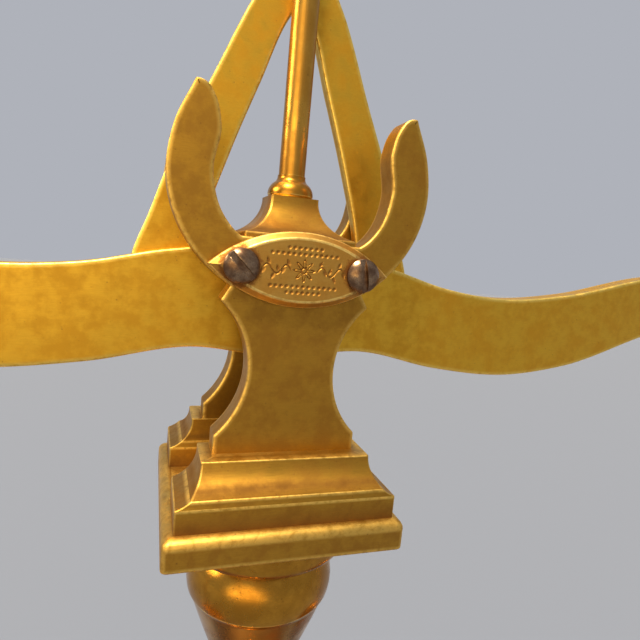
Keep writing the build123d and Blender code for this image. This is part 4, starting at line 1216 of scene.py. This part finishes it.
# ------------------------------------------------------------------ camera, light and floor
@dataclass
class Studio:
    """Camera close in front of the head, two broad suns, a grey sky with two bright places, and a grey floor."""

    eye: tuple[float, float, float] = (-24.1, -95.6, 45.96)
    yaw: float = 0.3274
    pitch: float = -0.1277
    roll: float = 0.0932
    lens: float = 28.19
    sensor: float = 36.0
    sky_colour: str = "#AFB2BA"
    # Each bright place: its direction, the angles where it starts and is full, its colour and its added strength.
    glows: tuple[tuple[tuple[float, float, float], float, float, str, float], ...] = (
        ((-0.50, -0.86, -0.05), 36.0, 14.0, "#FFE2A6", 2.6),
        ((0.08, 0.32, 0.94), 24.0, 8.0, "#FFF3DC", 3.0))

    def camera(self, levels: Levels) -> None:
        """Set the camera: its place is measured from the square plate's top, its turns are in radians."""
        forward = Vector((math.sin(self.yaw) * math.cos(self.pitch), math.cos(self.yaw) * math.cos(self.pitch),
                          math.sin(self.pitch)))
        level_right = Vector((math.cos(self.yaw), -math.sin(self.yaw), 0.0))
        level_up = level_right.cross(forward)
        right = math.cos(self.roll) * level_right + math.sin(self.roll) * level_up
        up = math.cos(self.roll) * level_up - math.sin(self.roll) * level_right
        data = bpy.data.cameras.new("studio camera")
        data.sensor_width, data.lens = self.sensor, self.lens
        data.clip_start, data.clip_end = 5 * MM, 50.0
        camera = bpy.data.objects.new("studio camera", data)
        turn = Matrix((right, up, -forward)).transposed().to_4x4()
        place = (Vector(self.eye) + Vector((0, 0, levels.plate_top))) * MM
        camera.matrix_world = Matrix.Translation(place) @ turn
        bpy.context.scene.collection.objects.link(camera)
        bpy.context.scene.camera = camera

    def sun(self, name: str, way: tuple[float, float, float], spread: float, strength: float, colour: str) -> None:
        """Add a sun: way points from the object to it, spread is its width in degrees."""
        data = bpy.data.lights.new(name, "SUN")
        data.angle, data.energy, data.color = math.radians(spread), strength, linear(colour)[:3]
        lamp = bpy.data.objects.new(name, data)
        lamp.matrix_world = (-Vector(way)).to_track_quat("-Z", "Y").to_matrix().to_4x4()
        bpy.context.scene.collection.objects.link(lamp)

    def sky(self) -> None:
        """Grey all round, with two broad bright places: a warm one low at the front left, a pale one overhead."""
        world = bpy.data.worlds.new("pale studio")
        world.use_nodes = True
        tree = world.node_tree
        tree.nodes.clear()
        way = add(tree, "TexCoord").outputs["Generated"]
        colour, strength = linear(self.sky_colour), 1.0
        for toward, edge, core, tint, power in self.glows:
            near = add(tree, "VectorMath", {0: way, 1: Vector(toward).normalized()}, operation="DOT_PRODUCT")
            amount = ramp(tree, near.outputs["Value"], math.cos(math.radians(edge)), math.cos(math.radians(core)))
            colour = blended(tree, amount, colour, linear(tint))
            more = add(tree, "Math", {0: amount, 1: power}, operation="MULTIPLY").outputs[0]
            strength = add(tree, "Math", {0: strength, 1: more}, operation="ADD").outputs[0]
        ground = add(tree, "Background", {"Color": colour, "Strength": strength})
        add(tree, "OutputWorld", {"Surface": ground.outputs[0]})
        bpy.context.scene.world = world
        bpy.context.scene.view_settings.view_transform = "Standard"

    def build(self, levels: Levels) -> None:
        """Set the camera, the sun, the sky and the floor."""
        self.camera(levels)
        self.sun("high sun", (-0.30, -0.35, 0.89), 14.0, 6.0, "#FFF0D2")
        self.sun("left sun", (-0.90, 0.10, 0.42), 20.0, 1.6, "#FFE9C4")
        self.sky()
        mesh = bpy.data.meshes.new("floor")
        far = 6.0
        mesh.from_pydata([(-far, -far, 0), (far, -far, 0), (far, far, 0), (-far, far, 0)], [], [(0, 1, 2, 3)])
        mesh.materials.append(PaleFloor().material())
        floor = bpy.data.objects.new("floor", mesh)
        bpy.context.scene.collection.objects.link(floor)


def finishes(levels: Levels) -> dict[str, bpy.types.Material]:
    """Make every finish once."""
    z = levels.knife + CAP_RAISE
    face = -levels.cheek_face - CAP_THICKNESS
    halos = tuple((x, face, z, CAP_SCREW_HALO) for x in (-CAP_SCREW_X, CAP_SCREW_X))
    metals = {
        # Cast brass, filed and toned brown: a soft sheen, dark patches, edges rubbed bright.
        "cast": AgedMetal("toned cast brass", "#B18430", "#966C29", "#E3BA5E", "#5A3A22", 0.46, Grain.ALONG_X,
                          patch_mm=3.5, scratch_mm=0.14, tarnish_amount=0.2, wave_depth=0.12),
        # The standards' faces, filed across and long handled.
        "cheek": AgedMetal("filed cheek brass", "#AD812E", "#936B28", "#E3BA5E", "#5E3B22", 0.48, Grain.ALONG_X,
                           patch_mm=3.5, scratch_mm=0.14, tarnish_amount=0.2, wave_depth=0.12),
        # The cap, draw-filed along its length, with brown dirt round the screws.
        "cap": AgedMetal("draw-filed cap brass", "#C59545", "#AF8038", "#EFCB74", "#6B3A20", 0.42, Grain.ALONG_X,
                         patch_mm=3.0, scratch_mm=0.14, tarnish_amount=0.25, wave_depth=0.1, dirt_at=halos),
        # Turned and polished brass: brighter, with fine rings.
        "turned": AgedMetal("turned brass", "#C8943A", "#A97628", "#F0C968", "#5C3C20", 0.28, Grain.ROUND_Z),
        # The column, polished by handling.
        "column": AgedMetal("polished column brass", "#C48C32", "#A06E24", "#F0C968", "#55361E", 0.22,
                            Grain.ROUND_Z, wave_depth=0.1),
        # Drawn wire and rod.
        "rod": AgedMetal("drawn rod brass", "#CB983F", "#AE7D30", "#F0C968", "#5C3C20", 0.30, Grain.ALONG_Z,
                         tarnish_amount=0.2),
        "drawn": AgedMetal("drawn wire brass", "#C6943E", "#A4762E", "#F0C968", "#5C3C20", 0.30),
        # Beam plate, draw-filed along the arms.
        "beam": AgedMetal("filed beam brass", "#DAAA36", "#C4922A", "#F6D670", "#84552A", 0.42, Grain.ALONG_X,
                          patch_mm=3.0, scratch_mm=0.13, tarnish_amount=0.1, wave_depth=0.1),
        # Spun pans.
        "left_pan": AgedMetal("spun pan brass", "#CB9A44", "#AC7C32", "#F0CB70", "#6A4826", 0.26, Grain.ROUND_Z,
                              patch_mm=14.0),
        # Steel screws gone brown with age.
        "screw": AgedMetal("browned screw steel", "#9A7E62", "#5E4534", "#D9C8AE", "#3A221A", 0.30, Grain.NONE,
                           patch_mm=2.2, tarnish_amount=0.6),
        # Ground steel of the knives and bearings.
        "steel": AgedMetal("ground steel", "#8E8C8A", "#6B6764", "#C8C6C2", "#4A3A30", 0.32, Grain.ALONG_Y),
    }
    made = {key: metal.material() for key, metal in metals.items()}
    made["right_pan"] = made["left_pan"]
    made["walnut"] = WaxedWalnut().material()
    return made


def dress_frame(shop: Workshop) -> None:
    """Give the CAD nodes that still show their finishes."""
    steel = ("tie_rod", "tie_washer", "tie_nut", "standard_screws", "front_bearing", "rear_bearing", "centre_knife",
             "left_end_knife", "right_end_knife", "bridge_dowels", "harp_screws")
    for node in steel:
        for slot in shop.frame["nodes"][node].material_slots:
            slot.material = shop.finishes["steel"]
        LOG.info("%s keeps its CAD shape", node)


def main() -> None:
    """Build the sub-assemblies in order round the frame."""
    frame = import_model()
    levels = Levels.read()
    shop = Workshop(frame, levels, finishes(levels))
    Plinth().build(shop)
    Column().build(shop)
    SquarePlate().build(shop)
    for side in Side:
        Standard(side).build(shop)
        Cap(side).build(shop)
    Index().build(shop)
    Beam().build(shop)
    for hand in Hand:
        Hanger(hand).build(shop)
    dress_frame(shop)
    Studio().build(levels)


if __name__ == "__main__":
    logging.basicConfig(level=logging.INFO, format="%(name)s: %(message)s")
    main()
